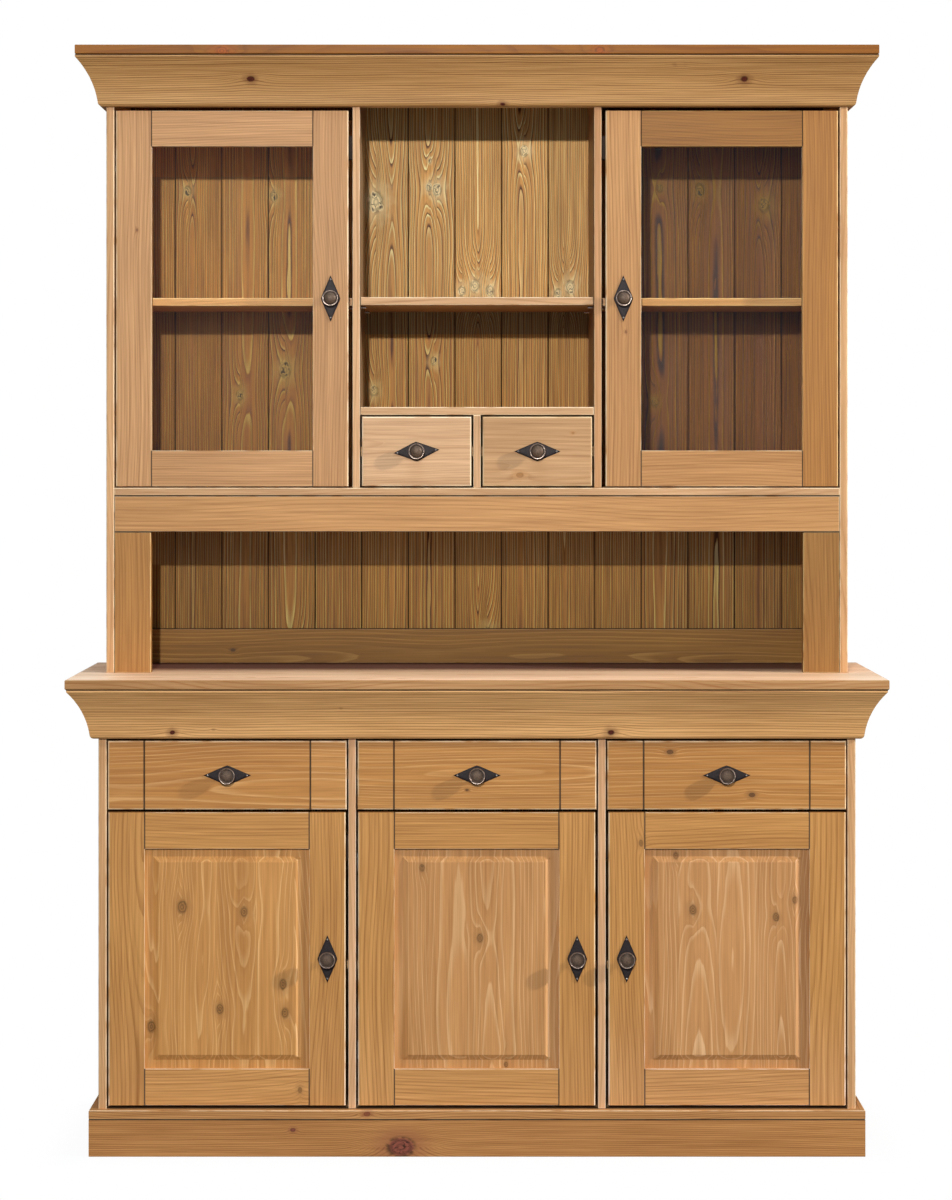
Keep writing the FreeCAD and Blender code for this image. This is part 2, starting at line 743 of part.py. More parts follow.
def drawer_front(x_span, front, z_span, grooved):
    """The front board of a drawer, with two upright V grooves on the wide drawers."""
    piece = box(x_span, (front, front + drawer_front_thickness), z_span)
    piece = rounded(piece, door_edge_round, ("y", front))
    if grooved:
        half, depth = drawer_front_groove / 2, drawer_front_groove_depth
        for x in (x_span[0] + frame_member, x_span[1] - frame_member):
            corners = [Vector(x - half, front, z_span[0]), Vector(x + half, front, z_span[0]),
                       Vector(x, front + depth, z_span[0])]
            piece = piece.cut(prism(corners, Vector(0, 0, z_span[1] - z_span[0])))
    place = Vector(sum(x_span) / 2, front, sum(z_span) / 2)
    return piece, place


def base_drawer(bay):
    """A wide drawer over a base door."""
    span = bay_span(base_width, bay)
    x_span = (span[0] + base_drawer_side_gap, span[1] - base_drawer_side_gap)
    z_span = (base_drawer_bottom, base_drawer_top)
    piece, place = drawer_front(x_span, base_front, z_span, True)
    piece = drilled(piece, placed(pull_bores(drawer_front_thickness), place))
    bottom = base_drawer_bottom + base_drawer_box_up
    solids = drawer_box(span, base_front, base_drawer_box_length, bottom, base_drawer_box_height,
                        base_drawer_middle())
    return [piece], solids, placed(pull(drawer_front_thickness), place)


def base_drawer_middle():
    """Half the height of a base drawer, where its runners are."""
    return (base_drawer_bottom + base_drawer_top) / 2


def small_drawer_span(side):
    """The left (-1) or right (1) half of the middle bay of the hutch."""
    left, right = bay_span(hutch_width, 1)
    half = board_thickness / 2
    return (left, -half) if side < 0 else (half, right)


def small_drawer_middle():
    """Half the height of a small drawer, where its runners are."""
    return hutch_floor_top + small_drawer_opening / 2


def small_drawer(side):
    """One of the two small drawers in the middle of the hutch."""
    span = small_drawer_span(side)
    x_span = (span[0] + small_drawer_gap, span[1] - small_drawer_gap)
    z_span = (hutch_floor_top + small_drawer_gap, drawer_bay_top - small_drawer_gap)
    piece, place = drawer_front(x_span, hutch_front, z_span, False)
    angle = crooked_pull_angle if side < 0 else 0
    piece = drilled(piece, placed(pull_bores(drawer_front_thickness), place, angle))
    bottom = hutch_floor_top + small_drawer_gap + small_drawer_box_up
    solids = drawer_box(span, hutch_front, small_drawer_box_length, bottom, small_drawer_box_height,
                        small_drawer_middle())
    return [piece], solids, placed(pull(drawer_front_thickness), place, angle)


def save(name, solids):
    """Write one named sub-part, made of one or more separate solids."""
    pieces = [solid for shape in solids for solid in shape.Solids]
    shape = pieces[0] if len(pieces) == 1 else Part.makeCompound(pieces)
    shape.exportStep("parts/" + name + ".step")


def make_base():
    """The lower carcass with its countertop, moulding, plinth, back and shelves."""
    holes = all_pins("base", pin_radius + pin_clearance, pin_in_wall + pin_showing)
    side = carcass_side(base_width, base_front, (0, counter_underside))
    save("base_sides", [drilled(piece, holes) for piece in [side] + mirrored([side])])
    depth = (base_front, backboard_face)
    dividers = uprights_between_bays(base_width, depth, (plinth_height, counter_underside))
    save("base_dividers", [drilled(piece, holes) for piece in dividers])
    inside = base_width / 2 - board_thickness
    floor_z = (plinth_height - board_thickness, plinth_height)
    save("base_floor_board", [board((-inside, inside), depth, floor_z)])
    save("base_back_boards", matchboards(base_width, (floor_z[0], counter_underside)))
    save("countertop", [slab(overall_width, front_edge, back_edge, counter_underside)])
    save("counter_cove_moulding", surround(cove_profile(counter_cove_bottom), cove_reach,
                                           base_width / 2, base_front, back_edge))
    cap_bottom = plinth_height - plinth_cap_thickness
    save("plinth_boards", surround(strip_profile(plinth_reach, 0, cap_bottom, joint_ease),
                                   plinth_reach, base_width / 2, base_front, back_edge))
    save("plinth_cap_moulding", surround(strip_profile(plinth_reach, cap_bottom, plinth_height, board_ease),
                                         plinth_reach, base_width / 2, base_front, back_edge))
    save("base_shelves", [shelf(base_width, bay, base_front, shelf_setback, base_shelf_top)
                          for bay in range(bay_count)])


def make_hutch():
    """The upper carcass with its cornice, back, shelves and the nook below it."""
    holes = all_pins("hutch", pin_radius + pin_clearance, pin_in_wall + pin_showing)
    side = carcass_side(hutch_width, hutch_front, (counter_height, cornice_underside))
    save("hutch_sides", [drilled(piece, holes) for piece in [side] + mirrored([side])])
    depth = (hutch_front, backboard_face)
    dividers = uprights_between_bays(hutch_width, depth, (hutch_floor_top, hutch_top_underside))
    save("hutch_dividers", [drilled(piece, holes) for piece in dividers])
    inside = hutch_width / 2 - board_thickness
    across = (-inside, inside)
    save("hutch_floor_board", [board(across, depth, (hutch_floor_bottom, hutch_floor_top))])
    save("hutch_top_board", [box(across, depth, (hutch_top_underside, cornice_underside))])
    save("hutch_back_boards", matchboards(hutch_width, (counter_height, cornice_underside)))
    post_y = (hutch_front, hutch_front + post_thickness)
    apron = board(across, post_y, (apron_bottom, hutch_floor_bottom))
    post = board((-inside, -inside + post_width), post_y, (counter_height, apron_bottom))
    save("nook_frame", [apron, post] + mirrored([post]))
    rail_y = (backboard_face - board_thickness, backboard_face)
    save("nook_back_rail", [board(across, rail_y, (counter_height, counter_height + nook_rail_height))])
    cornice_front = hutch_front - cornice_overhang
    save("cornice_board", [slab(overall_width, cornice_front, back_edge, cornice_underside)])
    save("cornice_cove_moulding", surround(cove_profile(cornice_cove_bottom), cove_reach,
                                           hutch_width / 2, hutch_front, back_edge))
    save("hutch_shelves", [shelf(hutch_width, bay, hutch_front, hutch_setback(bay), hutch_shelf_top)
                           for bay in range(bay_count)])
    middle = bay_span(hutch_width, 1)
    drawer_top = board(middle, depth, (drawer_bay_top, drawer_bay_top + board_thickness))
    half = board_thickness / 2
    drawer_upright = board((-half, half), depth, (hutch_floor_top, drawer_bay_top))
    save("drawer_bay_boards", [drawer_top, drawer_upright])


def make_top_rails():
    """The rails behind both cove mouldings."""
    rails = top_rails(base_width, base_front, (counter_cove_bottom, counter_underside))
    rails += top_rails(hutch_width, hutch_front, (cornice_cove_bottom, hutch_top_underside))
    save("top_rails", rails)


def make_fixed_fittings():
    """Pins, runners, the fixed halves of the hinges, and the catches."""
    length = pin_in_wall + pin_showing
    save("shelf_pins", all_pins("base", pin_radius, length) + all_pins("hutch", pin_radius, length))
    runners = []
    for bay in range(bay_count):
        span = bay_span(base_width, bay)
        runners += drawer_runner_pair(span, base_front, base_drawer_box_length, base_drawer_middle())
    for side in (-1, 1):
        span = small_drawer_span(side)
        runners += drawer_runner_pair(span, hutch_front, small_drawer_box_length, small_drawer_middle())
    save("drawer_runners", runners)
    base_z, glass_z = (base_door_bottom, base_door_top), (glass_door_bottom, glass_door_top)
    arms, catches = [], []
    doors = [(base_width, 0, base_front, base_z), (base_width, 1, base_front, base_z),
             (hutch_width, 0, hutch_front, glass_z)]
    for width, bay, front, z_span in doors:
        left, right = bay_span(width, bay)
        door_arms = [piece for height in hinge_heights(*z_span) for piece in hinge_arm(left, front, height)]
        door_catch = [catch(right, front, z_span[1])]
        arms += door_arms if bay else door_arms + mirrored(door_arms)
        catches += door_catch if bay else door_catch + mirrored(door_catch)
    save("hinge_arms", arms)
    save("door_catches", catches)


def save_door(name, frame, infill_name, infill, pulls, cups):
    """The four sub-parts of one door."""
    save(name + "_frame", frame)
    save(name + infill_name, infill)
    save(name + "_pull", pulls)
    save(name + "_hinge_cups", cups)


def make_doors():
    """Three panelled doors below and two glazed doors above; the right ones mirror the left ones."""
    base_z, glass_z = (base_door_bottom, base_door_top), (glass_door_bottom, glass_door_top)
    kinds = [("base_door_", panelled_door, "_panel", base_width, base_front, base_z, (0, 1)),
             ("glass_door_", glazed_door, "_pane", hutch_width, hutch_front, glass_z, (0,))]
    for kind, build, infill_name, width, front, z_span, bays in kinds:
        for bay in bays:
            frame, infill, x_span = build(bay, front, z_span)
            pulls = door_pull(x_span, front, z_span)
            left = bay_span(width, bay)[0]
            cups = [piece for height in hinge_heights(*z_span) for piece in hinge_cup(left, front, height)]
            save_door(kind + ("middle" if bay else "left"), frame, infill_name, infill, pulls, cups)
            if bay == 0:
                sides = [mirrored(pieces) for pieces in (frame, infill, pulls, cups)]
                save_door(kind + "right", sides[0], infill_name, *sides[1:])


def make_drawers():
    """Three wide drawers in the base and two small ones in the hutch."""
    words = ("left", "middle", "right")
    drawers = [("base_drawer_" + word, base_drawer(bay)) for bay, word in enumerate(words)]
    drawers += [("small_drawer_" + word, small_drawer(side)) for side, word in ((-1, "left"), (1, "right"))]
    for name, (front, solids, pulls) in drawers:
        save(name + "_front", front)
        save(name + "_box", solids)
        save(name + "_pull", pulls)


os.makedirs("parts", exist_ok=True)
make_base()
make_hutch()
make_top_rails()
make_fixed_fittings()
make_doors()
make_drawers()
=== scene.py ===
# %% [markdown]
# # A pine buffet cabinet
# The real cabinet is waxed pine: panelled doors and drawers below, glazed doors above, a cornice
# and a countertop on the same hollow moulding, and ten dark iron pulls. Its boards come from the
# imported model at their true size, so this lesson only gives them their wood, makes the small
# ironwork afresh, and sets up the camera and the lights.

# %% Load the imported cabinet
import json
import math

import bmesh
import bpy
from mathutils import Matrix, Vector, noise as perlin

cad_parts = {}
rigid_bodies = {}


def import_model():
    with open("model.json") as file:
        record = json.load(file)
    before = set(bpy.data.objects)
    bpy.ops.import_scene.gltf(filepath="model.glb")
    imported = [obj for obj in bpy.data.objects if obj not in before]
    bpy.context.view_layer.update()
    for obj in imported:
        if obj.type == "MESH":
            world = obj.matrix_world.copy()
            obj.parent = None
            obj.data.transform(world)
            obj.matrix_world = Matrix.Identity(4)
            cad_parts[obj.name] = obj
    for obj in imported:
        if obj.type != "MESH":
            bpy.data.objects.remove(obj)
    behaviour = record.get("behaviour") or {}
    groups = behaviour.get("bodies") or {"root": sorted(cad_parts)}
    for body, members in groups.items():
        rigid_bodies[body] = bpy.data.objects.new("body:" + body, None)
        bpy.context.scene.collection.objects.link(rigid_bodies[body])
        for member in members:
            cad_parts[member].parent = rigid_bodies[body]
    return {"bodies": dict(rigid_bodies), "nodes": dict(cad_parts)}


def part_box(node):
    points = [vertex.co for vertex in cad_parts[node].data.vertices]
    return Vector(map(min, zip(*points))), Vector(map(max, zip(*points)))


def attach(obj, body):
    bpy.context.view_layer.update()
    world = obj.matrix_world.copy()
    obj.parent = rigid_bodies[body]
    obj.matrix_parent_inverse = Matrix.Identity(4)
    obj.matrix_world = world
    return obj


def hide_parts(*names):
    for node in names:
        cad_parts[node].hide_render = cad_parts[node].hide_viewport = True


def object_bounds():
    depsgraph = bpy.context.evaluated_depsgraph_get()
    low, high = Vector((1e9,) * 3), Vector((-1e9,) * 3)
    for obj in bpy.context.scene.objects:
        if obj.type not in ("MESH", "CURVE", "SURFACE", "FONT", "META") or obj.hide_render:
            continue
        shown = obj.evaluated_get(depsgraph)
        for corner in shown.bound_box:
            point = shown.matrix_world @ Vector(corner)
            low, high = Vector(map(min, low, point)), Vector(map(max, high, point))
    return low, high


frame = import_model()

nodes = frame["nodes"]
packed_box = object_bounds()
millimetre = 0.001
print("boards and fittings:", len(nodes), "box:", [tuple(corner) for corner in packed_box])

# %% [markdown]
# ## The camera
# The photograph was taken square on, from nearly six metres away, with upright lines kept upright.
# A tilted camera would make them lean, so this one looks level and its frame is shifted down
# instead. The same numbers turn a pixel of the photograph into a place on the cabinet, which later
# puts each knot where the real one is.

# %% Camera and a way from pixels to places
picture_width, picture_height = 952, 1200
focal_pixels = 3154
level_pixel = (477, 456.2)
eye = Vector((0, -5.984, 1.2825))
sensor_width = 36
quarter_turn = math.pi / 2

camera_data = bpy.data.cameras.new("photo_camera")
camera_data.sensor_width = sensor_width
camera_data.lens = focal_pixels / picture_height * sensor_width
camera_data.shift_x = (picture_width / 2 - level_pixel[0]) / picture_height
camera_data.shift_y = (level_pixel[1] - picture_height / 2) / picture_height
camera = bpy.data.objects.new("photo_camera", camera_data)
camera.location = eye
camera.rotation_euler = (quarter_turn, 0, 0)
bpy.context.scene.collection.objects.link(camera)
bpy.context.scene.camera = camera


def seen_at(pixel_x, pixel_y, depth):
    """The place in the plane y = depth that a pixel of the photograph shows."""
    scale = (depth - eye.y) / focal_pixels
    return Vector((eye.x + (pixel_x - level_pixel[0]) * scale, depth,
                   eye.z - (pixel_y - level_pixel[1]) * scale))


print("lens", round(camera_data.lens, 2), "shift", round(camera_data.shift_y, 4))

# %% [markdown]
# ## Light
# One lamp would leave the bays black, and an even glow would leave no shadow at all, so five lamps
# work together. A small main lamp above the camera throws the crisp shadow edges on the back boards,
# and a weak lamp far to the right throws the long shadows of the lower knobs. Three wide discs in
# front, above and behind fill the rest. Reflections don't show the discs, so that panes and knobs
# stay dark.

# %% Lights
view = bpy.context.scene.view_settings
view.view_transform = "Standard"

lamp_colour = (1.04, 1.0, 0.93)
fill_colour = (0.74, 0.97, 1.24)
# Each lamp has a name, a place, a width in metres, a power in watts and a colour.
lamps = [
    ("main_lamp", Vector((-0.38, -5.92, 2.63)), 0.12, 207, lamp_colour),
    ("side_lamp", Vector((5.0, -1.7, 3.0)), 0.14, 240, lamp_colour),
    ("front_softbox", Vector((0.0, -6.6, 1.2)), 3.0, 34, fill_colour),
    ("overhead_softbox", Vector((0.0, -0.7, 4.4)), 2.2, 72, fill_colour),
    ("rear_softbox", Vector((-3.0, 4.0, 2.0)), 2.2, 90, lamp_colour),
]
aim = (packed_box[0] + packed_box[1]) / 2
for name, place, size, power, colour in lamps:
    data = bpy.data.lights.new(name, "AREA")
    data.shape = "DISK"
    data.size = size
    data.energy = power
    data.color = colour
    lamp = bpy.data.objects.new(name, data)
    lamp.visible_glossy = "softbox" not in name
    lamp.visible_transmission = "softbox" not in name
    lamp.location = place
    lamp.rotation_euler = (aim - place).to_track_quat("-Z", "Y").to_euler()
    bpy.context.scene.collection.objects.link(lamp)
print("lamps:", [lamp[0] for lamp in lamps])

# %% [markdown]
# ## A few words for shader recipes
# A node tree is wired socket by socket, which hides the recipe. These helpers put a node in a tree
# and join it in one line, so that a finish can be read like arithmetic. A clickable node editor
# would do as well, but a script can repeat a recipe with other values.

# %% Put a node in a tree
def wire(tree, socket, value):
    """Give a socket a link from another node, or a plain value."""
    if isinstance(value, bpy.types.NodeSocket):
        tree.links.new(value, socket)
    else:
        socket.default_value = value


def put(tree, kind, inputs=(), **settings):
    """Add a node, set it and join its inputs, named or numbered."""
    node = tree.nodes.new(kind)
    for name, value in settings.items():
        setattr(node, name, value)
    for key, value in dict(inputs).items():
        wire(tree, node.inputs[key], value)
    return node


print("helpers: wire and put")

# %% [markdown]
# ## Words for arithmetic
# A shader works out its colours with small sums, one node to a sum. A wall of math nodes is hard to
# follow, so each kind of sum gets a word, and a recipe then reads nearly like a sentence. Two more
# words take a place apart into its three numbers and put it together again.

# %% Words for arithmetic
def reckon(tree, operation, *values):
    """One step of arithmetic."""
    return put(tree, "ShaderNodeMath", enumerate(values), operation=operation).outputs[0]


def plus(tree, *values):
    """Two values added."""
    return reckon(tree, "ADD", *values)


def minus(tree, *values):
    """The first value less the second."""
    return reckon(tree, "SUBTRACT", *values)


def times(tree, *values):
    """Two values multiplied."""
    return reckon(tree, "MULTIPLY", *values)


def over(tree, *values):
    """The first value divided by the second."""
    return reckon(tree, "DIVIDE", *values)


def scaled(tree, *values):
    """The first value times the second, and the third added."""
    return reckon(tree, "MULTIPLY_ADD", *values)


def larger(tree, *values):
    """The larger of two values."""
    return reckon(tree, "MAXIMUM", *values)


print("words: plus, minus, times, over, scaled and larger")

# %% Words for places
def split(tree, spot):
    """The three numbers in a vector."""
    return put(tree, "ShaderNodeSeparateXYZ", {0: spot}).outputs


def bundle(tree, *numbers):
    """Three numbers as a vector."""
    return put(tree, "ShaderNodeCombineXYZ", enumerate(numbers)).outputs[0]


def vector(tree, operation, *values):
    """One step of arithmetic with vectors."""
    node = put(tree, "ShaderNodeVectorMath", enumerate(values), operation=operation)
    return node.outputs["Value" if operation == "LENGTH" else "Vector"]


def stretch(tree, spot, scale):
    """A vector with each number multiplied."""
    return vector(tree, "MULTIPLY", spot, scale)


print("words: split, bundle, vector and stretch")

# %% [markdown]
# ## Clouds, ramps and colours
# Nothing on waxed wood is even. A noise texture gives soft clouds of values, which become streaks
# when they are stretched along a board. A ramp turns a value into a share from 0 to 1 with a soft
# edge, and a blend mixes two colours by that share. Colours are named as they look on a screen, and
# paint turns them into the light values that a shader counts in.

# %% Clouds, ramps and colours
def cloud(tree, spot, detail=2.0, roughness=0.5, output="Fac", dimensions="3D"):
    """Soft random values from 0 to 1, about 0.5."""
    node = put(tree, "ShaderNodeTexNoise", {"Scale": 1.0, "Detail": detail, "Roughness": roughness},
               noise_dimensions=dimensions)
    wire(tree, node.inputs["W" if dimensions == "1D" else "Vector"], spot)
    return node.outputs[output]


def ramp(tree, value, low, high):
    """Rises smoothly from 0 to 1 between two values, or falls when low is above high."""
    inputs = {"Value": value, "From Min": low, "From Max": high}
    return put(tree, "ShaderNodeMapRange", inputs, interpolation_type="SMOOTHSTEP").outputs[0]


def blend(tree, share, first, second, mode="MIX"):
    """A mix of two colours."""
    node = put(tree, "ShaderNodeMix", {0: share, 6: first, 7: second}, data_type="RGBA",
               blend_type=mode)
    return node.outputs[2]


def paint(red, green, blue):
    """A colour named on a screen, from 0 to 255, as the light values that shaders use."""
    shares = [value / 255 for value in (red, green, blue)]
    linear = [s / 12.92 if s <= 0.04045 else ((s + 0.055) / 1.055) ** 2.4 for s in shares]
    return (*linear, 1.0)


print("white in light values:", paint(255, 255, 255))

# %% [markdown]
# ## Groups and materials
# What several finishes share, such as the growth rings, is built once as a node group with named
# sockets, and each material places it with values of its own. Copying the nodes into each material
# would look the same, but every change would then have to be made thirty times.

# %% Groups and materials
def new_group(name, inputs, outputs):
    """A node group with its named sockets; inputs give each name, kind and first value."""
    tree = bpy.data.node_groups.new(name, "ShaderNodeTree")
    for label, kind, value in inputs:
        socket = tree.interface.new_socket(label, in_out="INPUT", socket_type="NodeSocket" + kind)
        if value is not None:
            socket.default_value = value
    for label, kind in outputs:
        tree.interface.new_socket(label, in_out="OUTPUT", socket_type="NodeSocket" + kind)
    return tree, put(tree, "NodeGroupInput").outputs, put(tree, "NodeGroupOutput").inputs


def use_group(tree, group, inputs):
    """Place a group in a tree and return its outputs."""
    node = tree.nodes.new("ShaderNodeGroup")
    node.node_tree = group
    for key, value in inputs.items():
        wire(tree, node.inputs[key], value)
    return node.outputs


def new_material(name):
    """A material with its Principled shader and the place on the piece."""
    material = bpy.data.materials.new(name)
    material.use_nodes = True
    tree = material.node_tree
    coordinates = put(tree, "ShaderNodeTexCoord")
    return material, tree, tree.nodes["Principled BSDF"], coordinates.outputs


print("helpers: new_group, use_group and new_material")

# %% [markdown]
# ## White surroundings
# The cabinet stands in a white studio. The eye should see plain white round it, also through the
# pane of an open door, but that much light on the wood would wash out every shadow. So the
# surroundings are white only for rays that lead to the eye, straight or through one pane. For the
# light that falls on wood they are a weak, cool fill.

# %% White surroundings
surround_white = (1.0, 1.0, 1.0, 1.0)
fill_strength = 0.13
# A ray that has passed both faces of one pane has a depth of 2.
two_sides_of_a_pane = 2.5


def seen(tree):
    """1 for what the camera sees, straight or through one pane, and 0 for light that falls on wood."""
    path = put(tree, "ShaderNodeLightPath").outputs
    through = reckon(tree, "LESS_THAN", path["Ray Depth"], two_sides_of_a_pane)
    through = times(tree, through, path["Is Transmission Ray"])
    return larger(tree, path["Is Camera Ray"], through)


def glow(tree, straight):
    """How strongly the surroundings shine: fully for the eye, weakly for the wood."""
    return scaled(tree, straight, 1.0 - fill_strength, fill_strength)


world = bpy.data.worlds.new("studio_white")
world.use_nodes = True
bpy.context.scene.world = world
tree = world.node_tree
straight = seen(tree)
background = tree.nodes["Background"].inputs
wire(tree, background["Color"], blend(tree, straight, (*fill_colour, 1.0), surround_white))
wire(tree, background["Strength"], glow(tree, straight))
print("the wood gets", fill_strength, "of the white that the eye sees")

# %% [markdown]
# ## The floor
# The floor is a plain pale sheet. Its far edge would cut the picture with a horizon, so it fades into
# the white of the surroundings. The distance from the cabinet's footprint drives the fade, which
# therefore looks the same from every side.

# %% The floor
floor_tone = (0.93, 0.93, 0.93, 1.0)
floor_dullness = 0.7
floor_size = 60.0
floor_fade = (-0.5, 0.08)
footprint = packed_box[1].xy


def off_the_footprint(tree, spot):
    """The distance along the floor from the cabinet's footprint."""
    x, y, _ = split(tree, spot)
    beside = larger(tree, minus(tree, reckon(tree, "ABSOLUTE", x), footprint.x), 0.0)
    before = larger(tree, minus(tree, reckon(tree, "ABSOLUTE", y), footprint.y), 0.0)
    return reckon(tree, "SQRT", plus(tree, times(tree, beside, beside), times(tree, before, before)))


floor_material, tree, shader, place = new_material("studio_floor")
shader.inputs["Base Color"].default_value = floor_tone
shader.inputs["Roughness"].default_value = floor_dullness
white = put(tree, "ShaderNodeEmission", {"Color": surround_white, "Strength": glow(tree, seen(tree))})
faded = ramp(tree, off_the_footprint(tree, place["Object"]), *floor_fade)
mix = put(tree, "ShaderNodeMixShader", {0: faded, 1: shader.outputs[0], 2: white.outputs[0]})
wire(tree, tree.nodes["Material Output"].inputs["Surface"], mix.outputs[0])

work = bmesh.new()
bmesh.ops.create_grid(work, x_segments=4, y_segments=4, size=floor_size / 2)
floor_mesh = bpy.data.meshes.new("studio_floor")
work.to_mesh(floor_mesh)
work.free()
floor_mesh.materials.append(floor_material)
floor = bpy.data.objects.new("studio_floor", floor_mesh)
bpy.context.scene.collection.objects.link(floor)
print("floor", floor_size, "m wide")

# %% [markdown]
# ## One finish for many boards
# A node often holds several boards: fifteen back boards, the staves of a panel, two stiles. Each
# board is a slice of its own tree, so the space of a node is cut into cells, one to a board. A cell
# gives two things: the place measured from the middle of its board, and a random seed. Separate
# objects with separate materials would do the same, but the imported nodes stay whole.

# %% The board cells group
def make_board_cells():
    """The place from the middle of a cell, and a random seed for the board in it."""
    tree, given, result = new_group(
        "board cells",
        [("Place", "Vector", None), ("Pitch", "Vector", None), ("Start", "Vector", None),
         ("Number", "Float", 0.0)],
        [("Place", "Vector"), ("Seed", "Vector")])
    offset = vector(tree, "SUBTRACT", given["Place"], given["Start"])
    cell = vector(tree, "FLOOR", vector(tree, "DIVIDE", offset, given["Pitch"]))
    middle = vector(tree, "MULTIPLY", vector(tree, "ADD", cell, (0.5, 0.5, 0.5)), given["Pitch"])
    wire(tree, result["Place"], vector(tree, "SUBTRACT", offset, middle))
    drawn = put(tree, "ShaderNodeTexWhiteNoise", {"Vector": cell, "W": given["Number"]},
                noise_dimensions="4D")
    wire(tree, result["Seed"], drawn.outputs["Color"])
    return tree


longer_than_any_board = 16.0


def cells(node, x=None, y=None, z=None):
    """The cells of a node's boards: a pitch for each axis that is cut, counted from its low end."""
    low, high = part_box(node)
    pitch, start = [], []
    for axis, step in enumerate((x, y, z)):
        middle = (low[axis] + high[axis]) / 2
        pitch.append(step or longer_than_any_board)
        start.append(low[axis] if step else middle - longer_than_any_board / 2)
    return pitch, start


board_cells = make_board_cells()
print("cells of the back boards:", cells("hutch_back_boards", x=0.09))

# %% [markdown]
# ## How pine grows
# A board is a slice of a trunk, and the lines on its face are the yearly rings that the slice cuts.
# A picture of wood could be wrapped round each board, but then the end of a board would not match
# its face. Here the rings are worked out in space: each board gets a pith line of its own, a little
# behind its face, and the distance from it, divided by the width of a ring, tells how far a spot is
# through its year. The pith line wanders, which makes the long pointed arches of flat sawn boards.
# Each trunk grew at its own pace, and some years were leaner than others.

# %% The pith line and the years
bend_scale = 1.3
bends_apart = 40.0
years_scale = 60.0
lean_years = 1.1
pace_spread, slowest_pace = 0.5, 0.75


def pith_radius(tree, given, along):
    """The distance from a pith line that wanders to and fro along the trunk."""
    _, y, z = split(tree, given["Place"])
    _, seed_y, seed_z = split(tree, given["Seed"])
    bend_spot = bundle(tree, times(tree, along, bend_scale), times(tree, seed_y, bends_apart), 0.0)
    bend_y, bend_z, _ = split(tree, cloud(tree, bend_spot, 1.0, output="Color", dimensions="2D"))
    aside = scaled(tree, minus(tree, seed_y, 0.5), given["Aside"], given["Beside"])
    aside = scaled(tree, minus(tree, bend_y, 0.5), given["Wander"], aside)
    depth = times(tree, plus(tree, seed_z, 0.3), given["Pith Depth"])
    depth = scaled(tree, minus(tree, bend_z, 0.5), given["Wander"], depth)
    return vector(tree, "LENGTH", bundle(tree, minus(tree, y, aside), plus(tree, z, depth), 0.0))


def count_years(tree, given, field):
    """How many rings lie between the pith and a spot, on a trunk of its own pace."""
    seed_x, _, seed_z = split(tree, given["Seed"])
    years = cloud(tree, scaled(tree, field, years_scale, seed_z), 0.0, dimensions="1D")
    uneven = times(tree, minus(tree, years, 0.5), lean_years)
    pace = times(tree, given["Ring Width"], scaled(tree, seed_x, pace_spread, slowest_pace))
    return plus(tree, over(tree, field, pace), uneven)


print("helpers: pith_radius and count_years")

# %% The growth rings group
trunks_apart = 31.0
ripple_scale = (3.0, 18.0, 18.0)
tremble_scale = (14.0, 130.0, 130.0)
tremble_depth = 0.0014
fibre_scale = (5.0, 210.0, 210.0)
least_vigour = 0.35


def make_growth_rings():
    """Late and young wood by the season at a spot, and the streaks of the fibres."""
    tree, given, result = new_group(
        "growth rings",
        [("Place", "Vector", None), ("Seed", "Vector", None), ("Lift", "Float", 0.0),
         ("Ring Width", "Float", 0.005), ("Pith Depth", "Float", 0.05), ("Wander", "Float", 0.05),
         ("Aside", "Float", 0.1), ("Beside", "Float", 0.0), ("Ripple", "Float", 0.005),
         ("Rise", "Float", 0.5)],
        [("Late", "Float"), ("Young", "Float"), ("Streak", "Float")])
    x, y, z = split(tree, given["Place"])
    along = scaled(tree, split(tree, given["Seed"])[0], trunks_apart, x)
    trunk = bundle(tree, along, y, z)
    ripple = minus(tree, cloud(tree, stretch(tree, trunk, ripple_scale), 1.0), 0.5)
    tremble = minus(tree, cloud(tree, stretch(tree, trunk, tremble_scale), 1.0), 0.5)
    field = plus(tree, pith_radius(tree, given, along), given["Lift"])
    field = scaled(tree, ripple, given["Ripple"], field)
    years = count_years(tree, given, scaled(tree, tremble, tremble_depth, field))
    season = reckon(tree, "FRACT", years)
    drawn = put(tree, "ShaderNodeTexWhiteNoise", {"W": reckon(tree, "FLOOR", years)},
                noise_dimensions="1D")
    vigour = scaled(tree, drawn.outputs["Value"], 1.0 - least_vigour, least_vigour)
    late = times(tree, ramp(tree, season, given["Rise"], 0.94), ramp(tree, season, 1.0, 0.95))
    wire(tree, result["Late"], times(tree, late, vigour))
    wire(tree, result["Young"], times(tree, ramp(tree, season, 0.3, 0.02), vigour))
    wire(tree, result["Streak"], cloud(tree, stretch(tree, trunk, fibre_scale), 3.0, 0.65))
    return tree


growth_rings = make_growth_rings()
print("growth rings:", len(growth_rings.nodes), "nodes")

# %% [markdown]
# ## Knots
# A knot is the root of a branch, and the rings flow round it. In the field of distances it is a
# small hill with a sharp ridge along the board, so the ring lines part before it and close behind
# it in a point. Some knots sit where the photograph shows them, others are strewn by chance, one to
# a cell of a Voronoi pattern. Both kinds hand on the lift of the hill, and how many knot radii away
# a spot is.

# %% The hill and the oval of a knot
hill_height = 2.0
hill_width = 2.2
knot_length_share = 0.7


def hill(tree, x, y, size, reach_along):
    """How much a knot lifts the ring field at a distance along and across the board."""
    far_along = over(tree, x, times(tree, size, reach_along))
    far_across = over(tree, reckon(tree, "ABSOLUTE", y), times(tree, size, hill_width))
    slope = scaled(tree, far_along, far_along, far_across)
    fade = reckon(tree, "EXPONENT", times(tree, slope, -1.0))
    return times(tree, times(tree, size, hill_height), fade)


